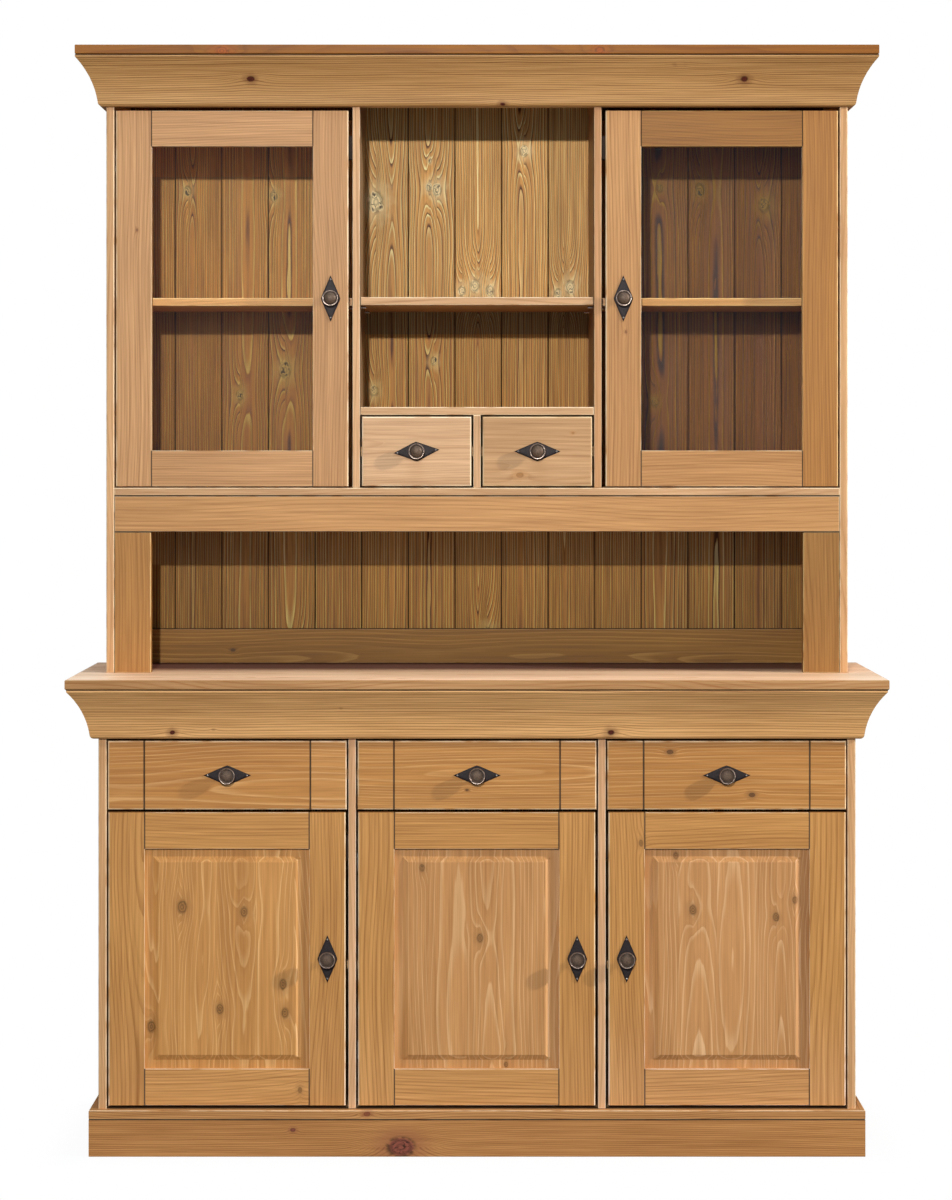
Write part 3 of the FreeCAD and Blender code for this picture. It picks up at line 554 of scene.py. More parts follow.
def oval(tree, x, y, waver):
    """The distance to a knot, which is longer along the board than across it, and a little ragged."""
    flat = bundle(tree, times(tree, x, knot_length_share), y, 0.0)
    return times(tree, vector(tree, "LENGTH", flat), waver)


print("a knot lifts the rings by", hill_height, "times its size")

# %% The placed knot group
far_from_knots = 50.0
slant_share = 0.3


def make_placed_knot():
    """Adds one knot at a centre to the lift and the reach of the knots before it."""
    tree, given, result = new_group(
        "placed knot",
        [("Place", "Vector", None), ("Centre", "Vector", None), ("Size", "Float", 0.006),
         ("Waver", "Float", 1.0), ("Reach Along", "Float", 5.0), ("Lift", "Float", 0.0),
         ("Reach", "Float", far_from_knots)],
        [("Lift", "Float"), ("Reach", "Float")])
    x, y, z = split(tree, vector(tree, "SUBTRACT", given["Place"], given["Centre"]))
    y = vector(tree, "LENGTH", bundle(tree, y, times(tree, z, slant_share), 0.0))
    raised = hill(tree, x, y, given["Size"], given["Reach Along"])
    wire(tree, result["Lift"], plus(tree, given["Lift"], raised))
    reach = over(tree, oval(tree, x, y, given["Waver"]), given["Size"])
    wire(tree, result["Reach"], reckon(tree, "MINIMUM", given["Reach"], reach))
    return tree


placed_knot = make_placed_knot()
print("placed knot:", len(placed_knot.nodes), "nodes")

# %% The chance knots group
chance_cell = (0.42, 0.13)
boards_apart = (17.0, 23.0)
size_spread, least_size = 0.8, 0.35
next_to_nothing = 1e-5


def make_chance_knots():
    """Adds the knots that chance strews, at most one to a cell."""
    tree, given, result = new_group(
        "chance knots",
        [("Place", "Vector", None), ("Seed", "Vector", None), ("Share", "Float", 0.5),
         ("Size", "Float", 0.007), ("Waver", "Float", 1.0), ("Reach Along", "Float", 5.0),
         ("Lift", "Float", 0.0), ("Reach", "Float", far_from_knots)],
        [("Lift", "Float"), ("Reach", "Float")])
    x, y, _ = split(tree, given["Place"])
    seed_x, seed_y, _ = split(tree, given["Seed"])
    spot = bundle(tree, scaled(tree, seed_x, boards_apart[0], over(tree, x, chance_cell[0])),
                  scaled(tree, seed_y, boards_apart[1], over(tree, y, chance_cell[1])), 0.0)
    found = put(tree, "ShaderNodeTexVoronoi", {"Vector": spot, "Scale": 1.0}, voronoi_dimensions="2D")
    offset = vector(tree, "SUBTRACT", spot, found.outputs["Position"])
    x, y, _ = split(tree, stretch(tree, offset, (*chance_cell, 0.0)))
    chance, bulk, _ = split(tree, found.outputs["Color"])
    there = reckon(tree, "LESS_THAN", chance, given["Share"])
    size = times(tree, given["Size"], scaled(tree, bulk, size_spread, least_size))
    raised = times(tree, hill(tree, x, y, size, given["Reach Along"]), there)
    wire(tree, result["Lift"], plus(tree, given["Lift"], raised))
    size = larger(tree, times(tree, size, there), next_to_nothing)
    reach = over(tree, oval(tree, x, y, given["Waver"]), size)
    wire(tree, result["Reach"], reckon(tree, "MINIMUM", given["Reach"], reach))
    return tree


chance_knots = make_chance_knots()
print("chance knots:", len(chance_knots.nodes), "nodes")

# %% [markdown]
# ## The skin of the wood
# Wax and stain give pine its tones: pale early wood, darker late wood, and knots with a dark rim.
# On the brushed back boards it is the other way round: the late wood stands up, is rubbed pale, and
# throws a thin painted shade beside it. Each board is a shade lighter or darker than the next, soft
# clouds run along it, and fine fibres break the gloss. Hands rub the sharp edges pale, and a painted
# highlight on the eased edges adds to it. Wax gathers dark in the joints, and the same dark colour is
# painted shade in narrow gaps and in strips that lie in the dark. One group mixes all this.

# %% Rubbed edges and painted highlights
wear_and_highlight_patches = (30.0, 30.0, 30.0)


def make_arris_wear_and_highlight():
    """Patches of wear and painted highlight wherever an edge is eased, so that its face looks along no
    axis.
    """
    tree, given, result = new_group(
        "arris wear", [("Normal", "Vector", None), ("Place", "Vector", None)], [("Wear", "Float")])
    x, y, z = split(tree, vector(tree, "ABSOLUTE", given["Normal"]))
    square = larger(tree, larger(tree, x, y), z)
    turned = ramp(tree, square, 0.999, 0.96)
    patches = ramp(tree, cloud(tree, stretch(tree, given["Place"], wear_and_highlight_patches), 1.0), 0.2, 0.6)
    wire(tree, result["Wear"], times(tree, turned, patches))
    return tree


arris_wear_and_highlight = make_arris_wear_and_highlight()
print("rubbed edges:", len(arris_wear_and_highlight.nodes), "nodes")

# %% The light and dark of a board
drift_scale = (1.8, 11.0, 11.0)
drift_spread, darkest_drift = 0.4, 0.8
board_spread, darkest_board = 0.1, 0.95


def grey(tree, value):
    """A number as a colour."""
    return put(tree, "ShaderNodeCombineColor", enumerate([value] * 3)).outputs[0]


def warm(tree, value):
    """A share of light as a colour: less light on waxed pine also means a warmer brown."""
    powers = (value, reckon(tree, "POWER", value, 1.25), reckon(tree, "POWER", value, 1.6))
    return put(tree, "ShaderNodeCombineColor", enumerate(powers)).outputs[0]


def board_tone(tree, given):
    """The share of light at a spot: soft clouds, fibres, the board's own tone and the thin shades."""
    seed_x, _, seed_z = split(tree, given["Seed"])
    shift = bundle(tree, times(tree, seed_x, 9.0), seed_z, 0.0)
    drift = stretch(tree, vector(tree, "ADD", given["Place"], shift), drift_scale)
    tone = scaled(tree, cloud(tree, drift, 1.0), drift_spread, darkest_drift)
    fibre = minus(tree, given["Streak"], 0.5)
    tone = times(tree, tone, scaled(tree, fibre, given["Fibre"], 1.0))
    tone = times(tree, tone, scaled(tree, seed_z, board_spread, darkest_board))
    shade = times(tree, given["Young"], given["Hollow"])
    return times(tree, tone, minus(tree, 1.0, shade))


print("helpers: grey, warm and board_tone")

# %% The parts of a knot
halo_strength = 0.4
circles_scale = 15.0


def knot_flesh(tree, given, colour):
    """A knot painted over the wood: a halo, and a heart with faint circles."""
    halo = times(tree, ramp(tree, given["Reach"], 3.0, 1.0), halo_strength)
    colour = blend(tree, halo, colour, given["Knot"])
    heart = ramp(tree, given["Reach"], 1.15, 0.8)
    circles = reckon(tree, "SINE", times(tree, given["Reach"], circles_scale))
    flesh = blend(tree, 1.0, given["Knot"], grey(tree, scaled(tree, circles, 0.2, 0.8)), "MULTIPLY")
    return blend(tree, heart, colour, flesh)


def knot_crack(tree, given):
    """Where the heart of a knot has split."""
    off_crack = reckon(tree, "ABSOLUTE", minus(tree, given["Ragged"], 0.5))
    crack = larger(tree, ramp(tree, off_crack, 0.03, 0.008), ramp(tree, given["Ragged"], 0.36, 0.3))
    crack = times(tree, crack, ramp(tree, given["Reach"], 0.95, 0.6))
    return times(tree, crack, given["Crack"])


def knot_rim(tree, given):
    """The dark, broken ring of bark round a knot."""
    rim = times(tree, ramp(tree, given["Reach"], 0.7, 0.98), ramp(tree, given["Reach"], 1.4, 1.0))
    return times(tree, rim, ramp(tree, given["Ragged"], 0.4, 0.6))


print("helpers: knot_flesh, knot_crack and knot_rim")

# %% The pine skin group
# The dark of wax in joints, cracks and knot rims, and also painted shade in narrow gaps and dark
# strips.
dark_wax_and_shade = (0.035, 0.014, 0.006, 1.0)
seam_and_shade_strength = 0.88
seam_dullness = 0.3
streak_dullness, least_dullness = 0.16, 0.42


def make_pine_skin():
    """The colour, the dullness and the height of waxed pine at a spot."""
    tree, given, result = new_group(
        "pine skin",
        [("Place", "Vector", None), ("Seed", "Vector", None), ("Late", "Float", 0.0),
         ("Young", "Float", 0.0), ("Streak", "Float", 0.5), ("Reach", "Float", 50.0),
         ("Ragged", "Float", 0.5), ("Wear", "Float", 0.0), ("Seam", "Float", 0.0),
         ("Shade", "Color", (1.0, 1.0, 1.0, 1.0)), ("Early Wood", "Color", None),
         ("Late Wood", "Color", None), ("Knot", "Color", None), ("Worn", "Color", None),
         ("Contrast", "Float", 0.6), ("Fibre", "Float", 0.6), ("Hollow", "Float", 0.0),
         ("Rim", "Float", 0.5), ("Crack", "Float", 0.0), ("Relief", "Float", 0.0)],
        [("Color", "Color"), ("Roughness", "Float"), ("Height", "Float")])
    colour = blend(tree, times(tree, given["Late"], given["Contrast"]),
                   given["Early Wood"], given["Late Wood"])
    colour = blend(tree, 1.0, colour, warm(tree, board_tone(tree, given)), "MULTIPLY")
    colour = knot_flesh(tree, given, colour)
    colour = blend(tree, knot_crack(tree, given), colour, dark_wax_and_shade)
    rim = knot_rim(tree, given)
    colour = blend(tree, times(tree, rim, given["Rim"]), colour, dark_wax_and_shade)
    colour = blend(tree, given["Wear"], colour, given["Worn"])
    colour = blend(tree, 1.0, colour, given["Shade"], "MULTIPLY")
    colour = blend(tree, times(tree, given["Seam"], seam_and_shade_strength), colour, dark_wax_and_shade)
    wire(tree, result["Color"], colour)
    dullness = scaled(tree, given["Streak"], streak_dullness, least_dullness)
    wire(tree, result["Roughness"], scaled(tree, given["Seam"], seam_dullness, dullness))
    bumps = minus(tree, given["Late"], rim)
    height = scaled(tree, bumps, given["Relief"], times(tree, given["Streak"], 0.5))
    wire(tree, result["Height"], height)
    return tree


pine_skin = make_pine_skin()
print("pine skin:", len(pine_skin.nodes), "nodes")

# %% [markdown]
# ## Kinds of pine
# All boards were cut from like trees, but the joiner used them with care: calm wood for frames,
# lively wood for the mouldings, and brushed, darker boards behind. Every kind is one table of
# values. The colours were judged on a screen, and a lamp's fall-off is part of them. The
# countertop, whose wax is worn, has the least shine.

# %% The values of a kind
def kind_of_pine(early, late, knot, **changes):
    """The values of one kind of pine; what isn't changed is common to all."""
    values = {
        "Early Wood": paint(*early), "Late Wood": paint(*late), "Knot": paint(*knot),
        "Worn": paint(246, 218, 178), "worn_share": 0.85, "Contrast": 0.8, "Fibre": 0.9,
        "Hollow": 0.06, "Rim": 0.5, "Crack": 0.0, "Relief": 0.0, "Ring Width": 0.0056,
        "Pith Depth": 0.06, "Wander": 0.06, "Aside": 0.08, "Beside": 0.0, "Ripple": 0.004, "Rise": 0.5,
        "Share": 0.0, "Size": 0.005, "Reach Along": 5.0, "ragged": 0.9, "bump": 0.35, "shine": 0.25,
    }
    values.update(changes)
    return values


print("helper: kind_of_pine")

# %% The kinds in this cabinet
# The three colours are those of early wood, late wood and knots.
upper_pine = kind_of_pine((192, 142, 94), (158, 108, 62), (150, 98, 58))
# The right glazed door is a little darker and warmer: painted shade where the light falls off towards
# the right.
right_pine = kind_of_pine((188, 136, 84), (152, 102, 52), (150, 98, 58))
small_pine = kind_of_pine((206, 161, 117), (180, 130, 84), (196, 140, 84), Rim=0.2, Contrast=0.55)
carcass_pine = kind_of_pine((206, 157, 109), (178, 128, 80), (146, 92, 52))
lower_pine = kind_of_pine((197, 141, 78), (158, 103, 48), (160, 112, 60), Rim=0.2)
nook_pine = kind_of_pine((190, 139, 86), (162, 110, 58), (122, 82, 44))
drawer_pine = kind_of_pine((188, 130, 68), (218, 168, 108), (122, 82, 44), Rise=0.6)
panel_pine = kind_of_pine((193, 137, 78), (228, 184, 128), (158, 110, 60), worn_share=0.0, Rim=0.25,
                          Rise=0.62, Crack=0.3, Contrast=0.55, Fibre=0.8, ragged=0.7)
cove_pine = kind_of_pine((193, 146, 91), (100, 58, 26), (92, 36, 22), worn_share=0.0, Contrast=1.0,
                         Rise=0.6, Hollow=0.0, Wander=0.022, Aside=0.04, Beside=0.1, Ripple=0.003,
                         Crack=0.5, **{"Ring Width": 0.0052, "Pith Depth": 0.05, "Reach Along": 8.0})
# The countertop's cove is paler than the cornice's: painted light, as it faces up towards the lamps.
counter_cove_pine = {**cove_pine, "Early Wood": paint(226, 173, 112), "Late Wood": paint(142, 90, 44),
                     "Ring Width": 0.0042, "Ripple": 0.0015}
slab_pine = kind_of_pine((190, 135, 80), (132, 82, 42), (150, 84, 52), worn_share=0.5, Beside=0.08,
                         **{"Ring Width": 0.004})
cornice_pine = kind_of_pine((197, 145, 90), (158, 106, 58), (231, 142, 74), worn_share=0.1)
# The countertop is pale pine, painted paler still for the light that its top gets from above.
top_pine = kind_of_pine((252, 216, 180), (226, 174, 132), (140, 84, 56), Wander=0.1, shine=0.05)
plinth_pine = kind_of_pine((188, 131, 75), (124, 74, 37), (146, 80, 62), worn_share=0.4, Beside=0.11,
                           Aside=0.04, Crack=0.9, Rim=0.7, Wander=0.04, Ripple=0.003, ragged=0.2,
                           Contrast=0.8,
                           **{"Ring Width": 0.0036, "Pith Depth": 0.05, "Reach Along": 4.0})
back_pine = kind_of_pine((210, 154, 80), (255, 238, 170), (255, 232, 176), worn_share=0.0, Contrast=1.0,
                         Fibre=1.7, Hollow=0.95, Rim=0.5, Crack=0.9, Relief=1.0, Rise=0.62, Share=0.3,
                         Size=0.009, bump=0.8, Wander=0.014, Aside=0.03, Ripple=0.002,
                         **{"Ring Width": 0.0048, "Pith Depth": 0.018, "Reach Along": 7.0})
rail_pine = kind_of_pine((139, 95, 35), (172, 127, 62), (100, 68, 32), worn_share=0.2)
inside_pine = kind_of_pine((206, 164, 114), (176, 128, 80), (132, 82, 46), worn_share=0.5, Share=0.1)
print("a kind of pine has", len(upper_pine), "values")

# %% [markdown]
# ## Masks
# Stiles and rails share a node but not a direction, joints hold dark wax, and some boards get less
# light than others. A painted map could say where, but each of these places is a simple one: between
# two heights, near a joint, or on the returns of a moulding. So a mask is a small function that works
# out a value from 0 to 1 from the place, and masks can be joined to make others.

# %% Masks by place
def axis_of(tree, spot, axis):
    """One of the three numbers of a place."""
    return split(tree, spot)["XYZ".index(axis)]


def between(axis, low, high):
    """Between two places along an axis."""
    def mask(tree, spot):
        value = axis_of(tree, spot, axis)
        above_low = reckon(tree, "GREATER_THAN", value, low)
        return times(tree, above_low, reckon(tree, "LESS_THAN", value, high))
    return mask


def outside(axis, low, high):
    """Beyond two places along an axis."""
    inner = between(axis, low, high)
    return lambda tree, spot: minus(tree, 1.0, inner(tree, spot))


def rising(axis, low, high):
    """Grows smoothly from 0 to 1 between two places along an axis."""
    return lambda tree, spot: ramp(tree, axis_of(tree, spot, axis), low, high)


print("masks: between, outside and rising")

# %% Masks for whole parts of the cabinet
out_of_reach = 3.0
skin_depth = 0.004
left_half = between("X", -out_of_reach, 0.0)
right_half = between("X", 0.0, out_of_reach)
everywhere = between("X", -out_of_reach, out_of_reach)


def below(height):
    """Under a height."""
    return between("Z", 0.0, height)


def above(height):
    """Over a height."""
    return between("Z", height, out_of_reach)


def front_face(node):
    """The face of a board that looks forward."""
    return between("Y", -out_of_reach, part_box(node)[0].y + skin_depth)


print("masks: left_half, right_half, everywhere, below, above and front_face")

# %% Masks for joints
full_share = 0.4


def near(axis, half_width, *places):
    """Close to any of some places along an axis."""
    def mask(tree, spot):
        value, found = axis_of(tree, spot, axis), 0.0
        for place in places:
            off = reckon(tree, "ABSOLUTE", minus(tree, value, place))
            found = larger(tree, found, ramp(tree, off, half_width, half_width * full_share))
        return found
    return mask


def at_each(axis, pitch, start, half_width):
    """Near the joints between boards of one pitch."""
    def mask(tree, spot):
        value = minus(tree, axis_of(tree, spot, axis), start)
        share = reckon(tree, "FRACT", over(tree, value, pitch))
        nearest = reckon(tree, "MINIMUM", share, minus(tree, 1.0, share))
        return ramp(tree, nearest, half_width / pitch, half_width / pitch * full_share)
    return mask


def on_returns(half_width, front):
    """On the side strips of a mitred moulding."""
    def mask(tree, spot):
        x, y, _ = split(tree, spot)
        sideways = minus(tree, reckon(tree, "ABSOLUTE", x), half_width)
        return reckon(tree, "GREATER_THAN", sideways, minus(tree, front, y))
    return mask


print("masks: near, at_each and on_returns")

# %% Masks joined
def both(first, second):
    """Where two masks overlap."""
    return lambda tree, spot: times(tree, first(tree, spot), second(tree, spot))


def either(*masks):
    """Wherever one mask or another is."""
    def mask(tree, spot):
        found = 0.0
        for part in masks:
            found = larger(tree, found, part(tree, spot))
        return found
    return mask


print("masks: both and either")

# %% [markdown]
# ## From a kind to a board
# A board has its length one way, its width another and its thickness the third. Three letters say
# which: xzy lies across the cabinet and faces forward, zxy stands upright. With the letters, one
# recipe serves every board: find its cell, add its knots, grow the rings and lay the skin over them.
# Separate recipes for stiles, rails and slabs would drift apart with every change.

# %% The place and seed of a spot on its board
def laid(tree, place, order):
    """Turn a place into along, across and through a board."""
    axes = dict(zip("xyz", split(tree, place)))
    return bundle(tree, *[axes[letter] for letter in order])


def choose(tree, mask, first, second):
    """One vector or another, by a mask."""
    return put(tree, "ShaderNodeMix", {0: mask, 4: first, 5: second}, data_type="VECTOR").outputs[1]


def on_board(tree, spot, order, grid, number):
    """The place from the middle of the board, laid along it, and the board's random seed."""
    board = use_group(tree, board_cells, {"Place": spot, "Pitch": grid[0], "Start": grid[1],
                                          "Number": number})
    return laid(tree, board["Place"], order), board["Seed"]


print("helpers: laid, choose and on_board")

# %% The knots and tints of a board
def some(kind, *names):
    """A few of the values of a kind."""
    return {name: kind[name] for name in names}


def knotted(tree, spot, place, seed, order, knots, kind, waver):
    """How much all knots together lift the rings, and how many radii off the nearest one is."""
    found = {"Lift": 0.0, "Reach": far_from_knots}
    absolute = laid(tree, spot, order)
    for centre, size in knots:
        axes = dict(zip("xyz", centre))
        found = use_group(tree, placed_knot, {
            "Place": absolute, "Centre": [axes[letter] for letter in order],
            "Size": size * millimetre, "Waver": waver, "Lift": found["Lift"],
            "Reach": found["Reach"], **some(kind, "Reach Along")})
    return use_group(tree, chance_knots, {
        "Place": place, "Seed": seed, "Waver": waver, "Lift": found["Lift"],
        "Reach": found["Reach"], **some(kind, "Share", "Size", "Reach Along")})


def tinted(tree, spot, shade):
    """The share of red, green and blue light that stays at a spot."""
    light = (1.0, 1.0, 1.0, 1.0)
    for mask, shares in shade:
        changed = blend(tree, 1.0, light, (*shares, 1.0), "MULTIPLY")
        light = blend(tree, mask(tree, spot), light, changed)
    return light


print("helpers: some, knotted and tinted")

# %% The wood at a spot
ragged_scale = (60.0, 110.0, 110.0)


def grown(tree, spot, place, seed, order, knots, kind):
    """What the skin needs to know about the wood at a spot: its rings, its knots and its fibres."""
    ragged = cloud(tree, stretch(tree, place, ragged_scale), 1.0)
    waver = scaled(tree, ragged, kind["ragged"], 1.0 - kind["ragged"] / 2)
    found = knotted(tree, spot, place, seed, order, knots, kind, waver)
    rings = use_group(tree, growth_rings, {
        "Place": place, "Seed": seed, "Lift": found["Lift"],
        **some(kind, "Ring Width", "Pith Depth", "Wander", "Aside", "Beside", "Ripple", "Rise")})
    return {"Place": place, "Seed": seed, "Late": rings["Late"], "Young": rings["Young"],
            "Streak": rings["Streak"], "Reach": found["Reach"], "Ragged": ragged}


print("helper: grown")

# %% The pine material
board_count = 0
bump_depth = 0.0006


def pine(name, order, kind, grid, knots=(), second=None, seam_and_shade=None, shade=()):
    """A pine finish. grid holds the board cells; knots are places with sizes in millimetres;
    second is another order, its cells and the mask that picks it; the seam mask marks dark joints
    and also painted shade in narrow gaps and dark strips; shade is a list of masks, each with the
    shares of red, green and blue that stay."""
    global board_count
    board_count += 1
    material, tree, shader, coordinates = new_material(name)
    spot = coordinates["Object"]
    place, seed = on_board(tree, spot, order, grid, board_count)
    if second:
        other_order, other_grid, mask = second
        picked = mask(tree, spot)
        other_place, other_seed = on_board(tree, spot, other_order, other_grid, board_count + 0.5)
        place = choose(tree, picked, place, other_place)
        seed = choose(tree, picked, seed, other_seed)
    given = {**grown(tree, spot, place, seed, order, knots, kind), "Shade": tinted(tree, spot, shade),
             **some(kind, "Early Wood", "Late Wood", "Knot", "Worn", "Contrast", "Fibre", "Hollow",
                    "Rim", "Crack", "Relief")}
    # Eased edges turn pale: partly rubbed wear, partly a painted highlight.
    if kind["worn_share"]:
        edge_wear_and_highlight = use_group(tree, arris_wear_and_highlight, {"Normal": coordinates["Normal"], "Place": spot})["Wear"]
        given["Wear"] = times(tree, edge_wear_and_highlight, kind["worn_share"])
    if seam_and_shade:
        given["Seam"] = seam_and_shade(tree, spot)
    skin = use_group(tree, pine_skin, given)
    wire(tree, shader.inputs["Base Color"], skin["Color"])
    wire(tree, shader.inputs["Roughness"], skin["Roughness"])
    shader.inputs["Specular IOR Level"].default_value = kind["shine"]
    bump = put(tree, "ShaderNodeBump", {"Height": skin["Height"], "Strength": kind["bump"],
                                        "Distance": bump_depth})
    wire(tree, shader.inputs["Normal"], bump.outputs[0])
    return material


print("one recipe for all the wood among", len(nodes), "nodes")

# %% Finish a node
def clad(node, material):
    """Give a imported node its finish."""
    for slot in nodes[node].material_slots:
        slot.material = material


def knots_seen(depth, pixels):
    """Knots given by their pixels on a plane, with their sizes in millimetres."""
    return [(seen_at(x, y, depth), size) for x, y, size in pixels]


print("helpers: clad and knots_seen")

# %% [markdown]
# ## The mouldings
# A hollow moulding runs round the cornice and another round the countertop, each with a front strip
# and two mitred returns. The grain of a return runs from front to back, so a mask picks it out. Each
# packed board keeps its mesh and takes a finish of its own. The knots that stand out in the
# photograph are listed by their pixel, and by their size in millimetres.

# %% Where the fixed boards meet
hutch_low, hutch_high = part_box("hutch_sides")
base_low, base_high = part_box("base_sides")
cove_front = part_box("cornice_cove_moulding")[0].y
counter_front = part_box("counter_cove_moulding")[0].y
slab_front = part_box("cornice_board")[0].y
plinth_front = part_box("plinth_boards")[0].y
cornice_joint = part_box("cornice_board")[0].z
counter_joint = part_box("countertop")[0].z
plinth_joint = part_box("plinth_boards")[1].z
stave = 0.11
joint_half_width = 0.0019
print("joints at", [round(joint, 3) for joint in (plinth_joint, counter_joint, cornice_joint)])

# %% Mouldings and plinth
half_a_cove = 0.03
# Each knot has its pixel across and down the photograph, and its size in millimetres.
cornice_cove_knots = ((251, 79, 5), (744, 79, 5), (512, 58, 3), (503, 104, 4), (674, 65, 2.5),
                      (685, 66, 2.5))
counter_cove_knots = ((172, 733, 4), (611, 733, 5), (341, 708, 1.5), (213, 730, 1.5))
plinth_knots = ((401, 1147, 16.5), (293, 1130, 3))
plinth_cap_knots = ((367, 1114, 4),)


def moulding(node, kind, knots, low, high, joint):
    """A front strip with its two mitred returns, whose grain runs from front to back, and the height
    of the dark joint with the board above or below it."""
    grid = cells(node)
    grid[1][1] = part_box(node)[0].y - longer_than_any_board / 2
    clad(node, pine(node + "_pine", "xzy", kind, grid, knots,
                    second=("yzx", cells(node, x=stave), on_returns(high.x, low.y)),
                    seam_and_shade=near("Z", joint_half_width, joint)))


moulding("cornice_cove_moulding", cove_pine, knots_seen(cove_front + half_a_cove, cornice_cove_knots),
         hutch_low, hutch_high, cornice_joint)
moulding("counter_cove_moulding", counter_cove_pine,
         knots_seen(counter_front + half_a_cove, counter_cove_knots),
         base_low, base_high, counter_joint)
moulding("plinth_boards", plinth_pine, knots_seen(plinth_front, plinth_knots),
         base_low, base_high, plinth_joint)
moulding("plinth_cap_moulding", slab_pine, knots_seen(plinth_front, plinth_cap_knots),
         base_low, base_high, plinth_joint)
print("mouldings dressed:", board_count)

# %% [markdown]
# ## Cornice board and countertop
# Two flat slabs with eased edges lie on the mouldings. Their tops are lit from above, so their
# upright edges get painted shade. In the photograph the countertop is palest in front and sinks into
# deep shade under the hutch. Lamps alone would not give that depth, so soft masks paint shade that
# takes the tone of the wood down from the front of the hutch to the corner at the back.

# %% Cornice board and countertop
cornice_board_knots = ((222, 51, 8), (600, 50, 6))
# Painted shade for the upright edges of the two slabs, whose tops are lit from above.
cornice_edge_shade, counter_edge_shade = (0.47, 0.3, 0.045), (0.47, 0.35, 0.22)
eased = 0.0015
top_face = above(counter_joint + 0.017)


def edges_of(node):
    """The upright edges of a flat board."""
    low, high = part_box(node)
    return either(outside("Y", low.y + eased, high.y), outside("X", low.x + eased, high.x - eased))


clad("cornice_board", pine("cornice_board_pine", "xzy", cornice_pine, cells("cornice_board"),
                           knots_seen(slab_front, cornice_board_knots),
                           seam_and_shade=near("Z", joint_half_width, cornice_joint),
                           shade=[(edges_of("cornice_board"), cornice_edge_shade)]))
nook_span = both(rising("X", hutch_low.x - 0.03, hutch_low.x + 0.08),
                 rising("X", hutch_high.x + 0.03, hutch_high.x - 0.08))
under_hutch = both(rising("Y", hutch_low.y + 0.01, hutch_low.y + 0.15), nook_span)
nook_corner = both(rising("Y", hutch_low.y + 0.2, hutch_low.y + 0.27), nook_span)
# Painted shade on the countertop: darker edges, a little less light on the top within the nook, deep
# shade under the hutch and deeper still in the back corner.
counter_shade = [(edges_of("countertop"), counter_edge_shade),
                 (both(nook_span, top_face), (0.93, 0.8, 0.69)),
                 (under_hutch, (0.215, 0.17, 0.255)),
                 (nook_corner, (0.6, 0.5, 0.5))]
clad("countertop", pine("countertop_pine", "xyz", top_pine, cells("countertop", y=0.125),
                        seam_and_shade=near("Z", joint_half_width, counter_joint), shade=counter_shade))
print("slabs dressed, countertop joint at", round(counter_joint, 3))

# %% [markdown]
# ## Sides and dividers
# The uprights are plain boards of one calm kind. One material would do for a glance, but every bay
# has a light of its own in the photograph, so masks give the share of red, green and blue that each
# part keeps. The shade in the narrow gap beside a door or a drawer is painted as a thin dark line
# along the front edge of the divider, and the inner faces of the hutch's dividers get painted shade.

# %% Sides and dividers
board_thickness = 0.015
gap_half_width = 0.0013
# Painted shade on the inner faces of the hutch's dividers, which look into the middle bay.
inner_face = rising("Y", hutch_low.y + 0.002, hutch_low.y + 0.014)
upright_shade = {
    "base_sides": (),
    "base_dividers": [(everywhere, (1.12, 1.16, 1.32))],
    "hutch_sides": (),
    "hutch_dividers": [(left_half, (1.06, 1.09, 1.16)),
                       (both(inner_face, left_half), (0.38, 0.42, 0.48)),
                       (both(inner_face, right_half), (0.65, 0.7, 0.75)),
                       (right_half, (0.9, 0.82, 0.76))],
}


def gap_shade(node, *places):
    """The dark line of painted shade that a narrow gap beside a door or drawer draws along a board's
    front edge.
    """
    return both(near("X", gap_half_width, *places), front_face(node))


for node, shade in upright_shade.items():
    low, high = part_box(node)
    gaps = gap_shade(node, low.x, low.x + board_thickness, high.x - board_thickness, high.x)
    clad(node, pine(node + "_pine", "zyx", carcass_pine, cells(node, x=0.4, y=stave), shade=shade,
                    seam_and_shade=gaps if "dividers" in node else None))
print("uprights dressed:", list(upright_shade))

# %% [markdown]
# ## Shelves, floors and rails
# Boards that lie flat are glued up from staves, side by side from front to back, and their grain runs
# across the cabinet. Those behind the doors of the base hardly show and share one plain kind. The
# front strips of the base floor and of the top rails lie behind the gaps of the doors and drawers,
# where hardly any light comes, so they are dark.

# %% Shelves, floors and rails
bay_count = 3
bay_pitch = (hutch_high.x - hutch_low.x) / bay_count
nook_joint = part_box("hutch_floor_board")[0].z
nook_joint_half_width = 0.0022
left_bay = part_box("glass_door_left_frame")[1].x
right_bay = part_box("glass_door_right_frame")[0].x
# Painted shade on a strip along the front, where the base floor and the top rails lie dark behind the
# gaps.
front_strip = near("Y", 0.024, base_low.y)
# Painted light on the shelves: brighter and warmer behind the panes, a little darker in the middle bay.
shelf_shade = [(between("X", -out_of_reach, left_bay), (1.38, 1.22, 0.92)),
               (between("X", left_bay, right_bay), (0.9, 0.9, 0.92)),
               (between("X", right_bay, out_of_reach), (1.16, 1.02, 0.71))]
clad("hutch_shelves", pine("hutch_shelves_pine", "xyz", carcass_pine,
                           cells("hutch_shelves", x=bay_pitch, y=stave), shade=shelf_shade))
clad("hutch_floor_board", pine("hutch_floor_pine", "xyz", small_pine,
                               cells("hutch_floor_board", y=stave),
                               seam_and_shade=near("Z", nook_joint_half_width, nook_joint),
                               shade=[(everywhere, (0.92, 0.91, 0.89))]))
clad("base_floor_board", pine("base_floor_pine", "xyz", inside_pine, cells("base_floor_board", y=stave),
                              seam_and_shade=front_strip))
clad("hutch_top_board", pine("hutch_top_pine", "xyz", inside_pine, cells("hutch_top_board", y=stave)))
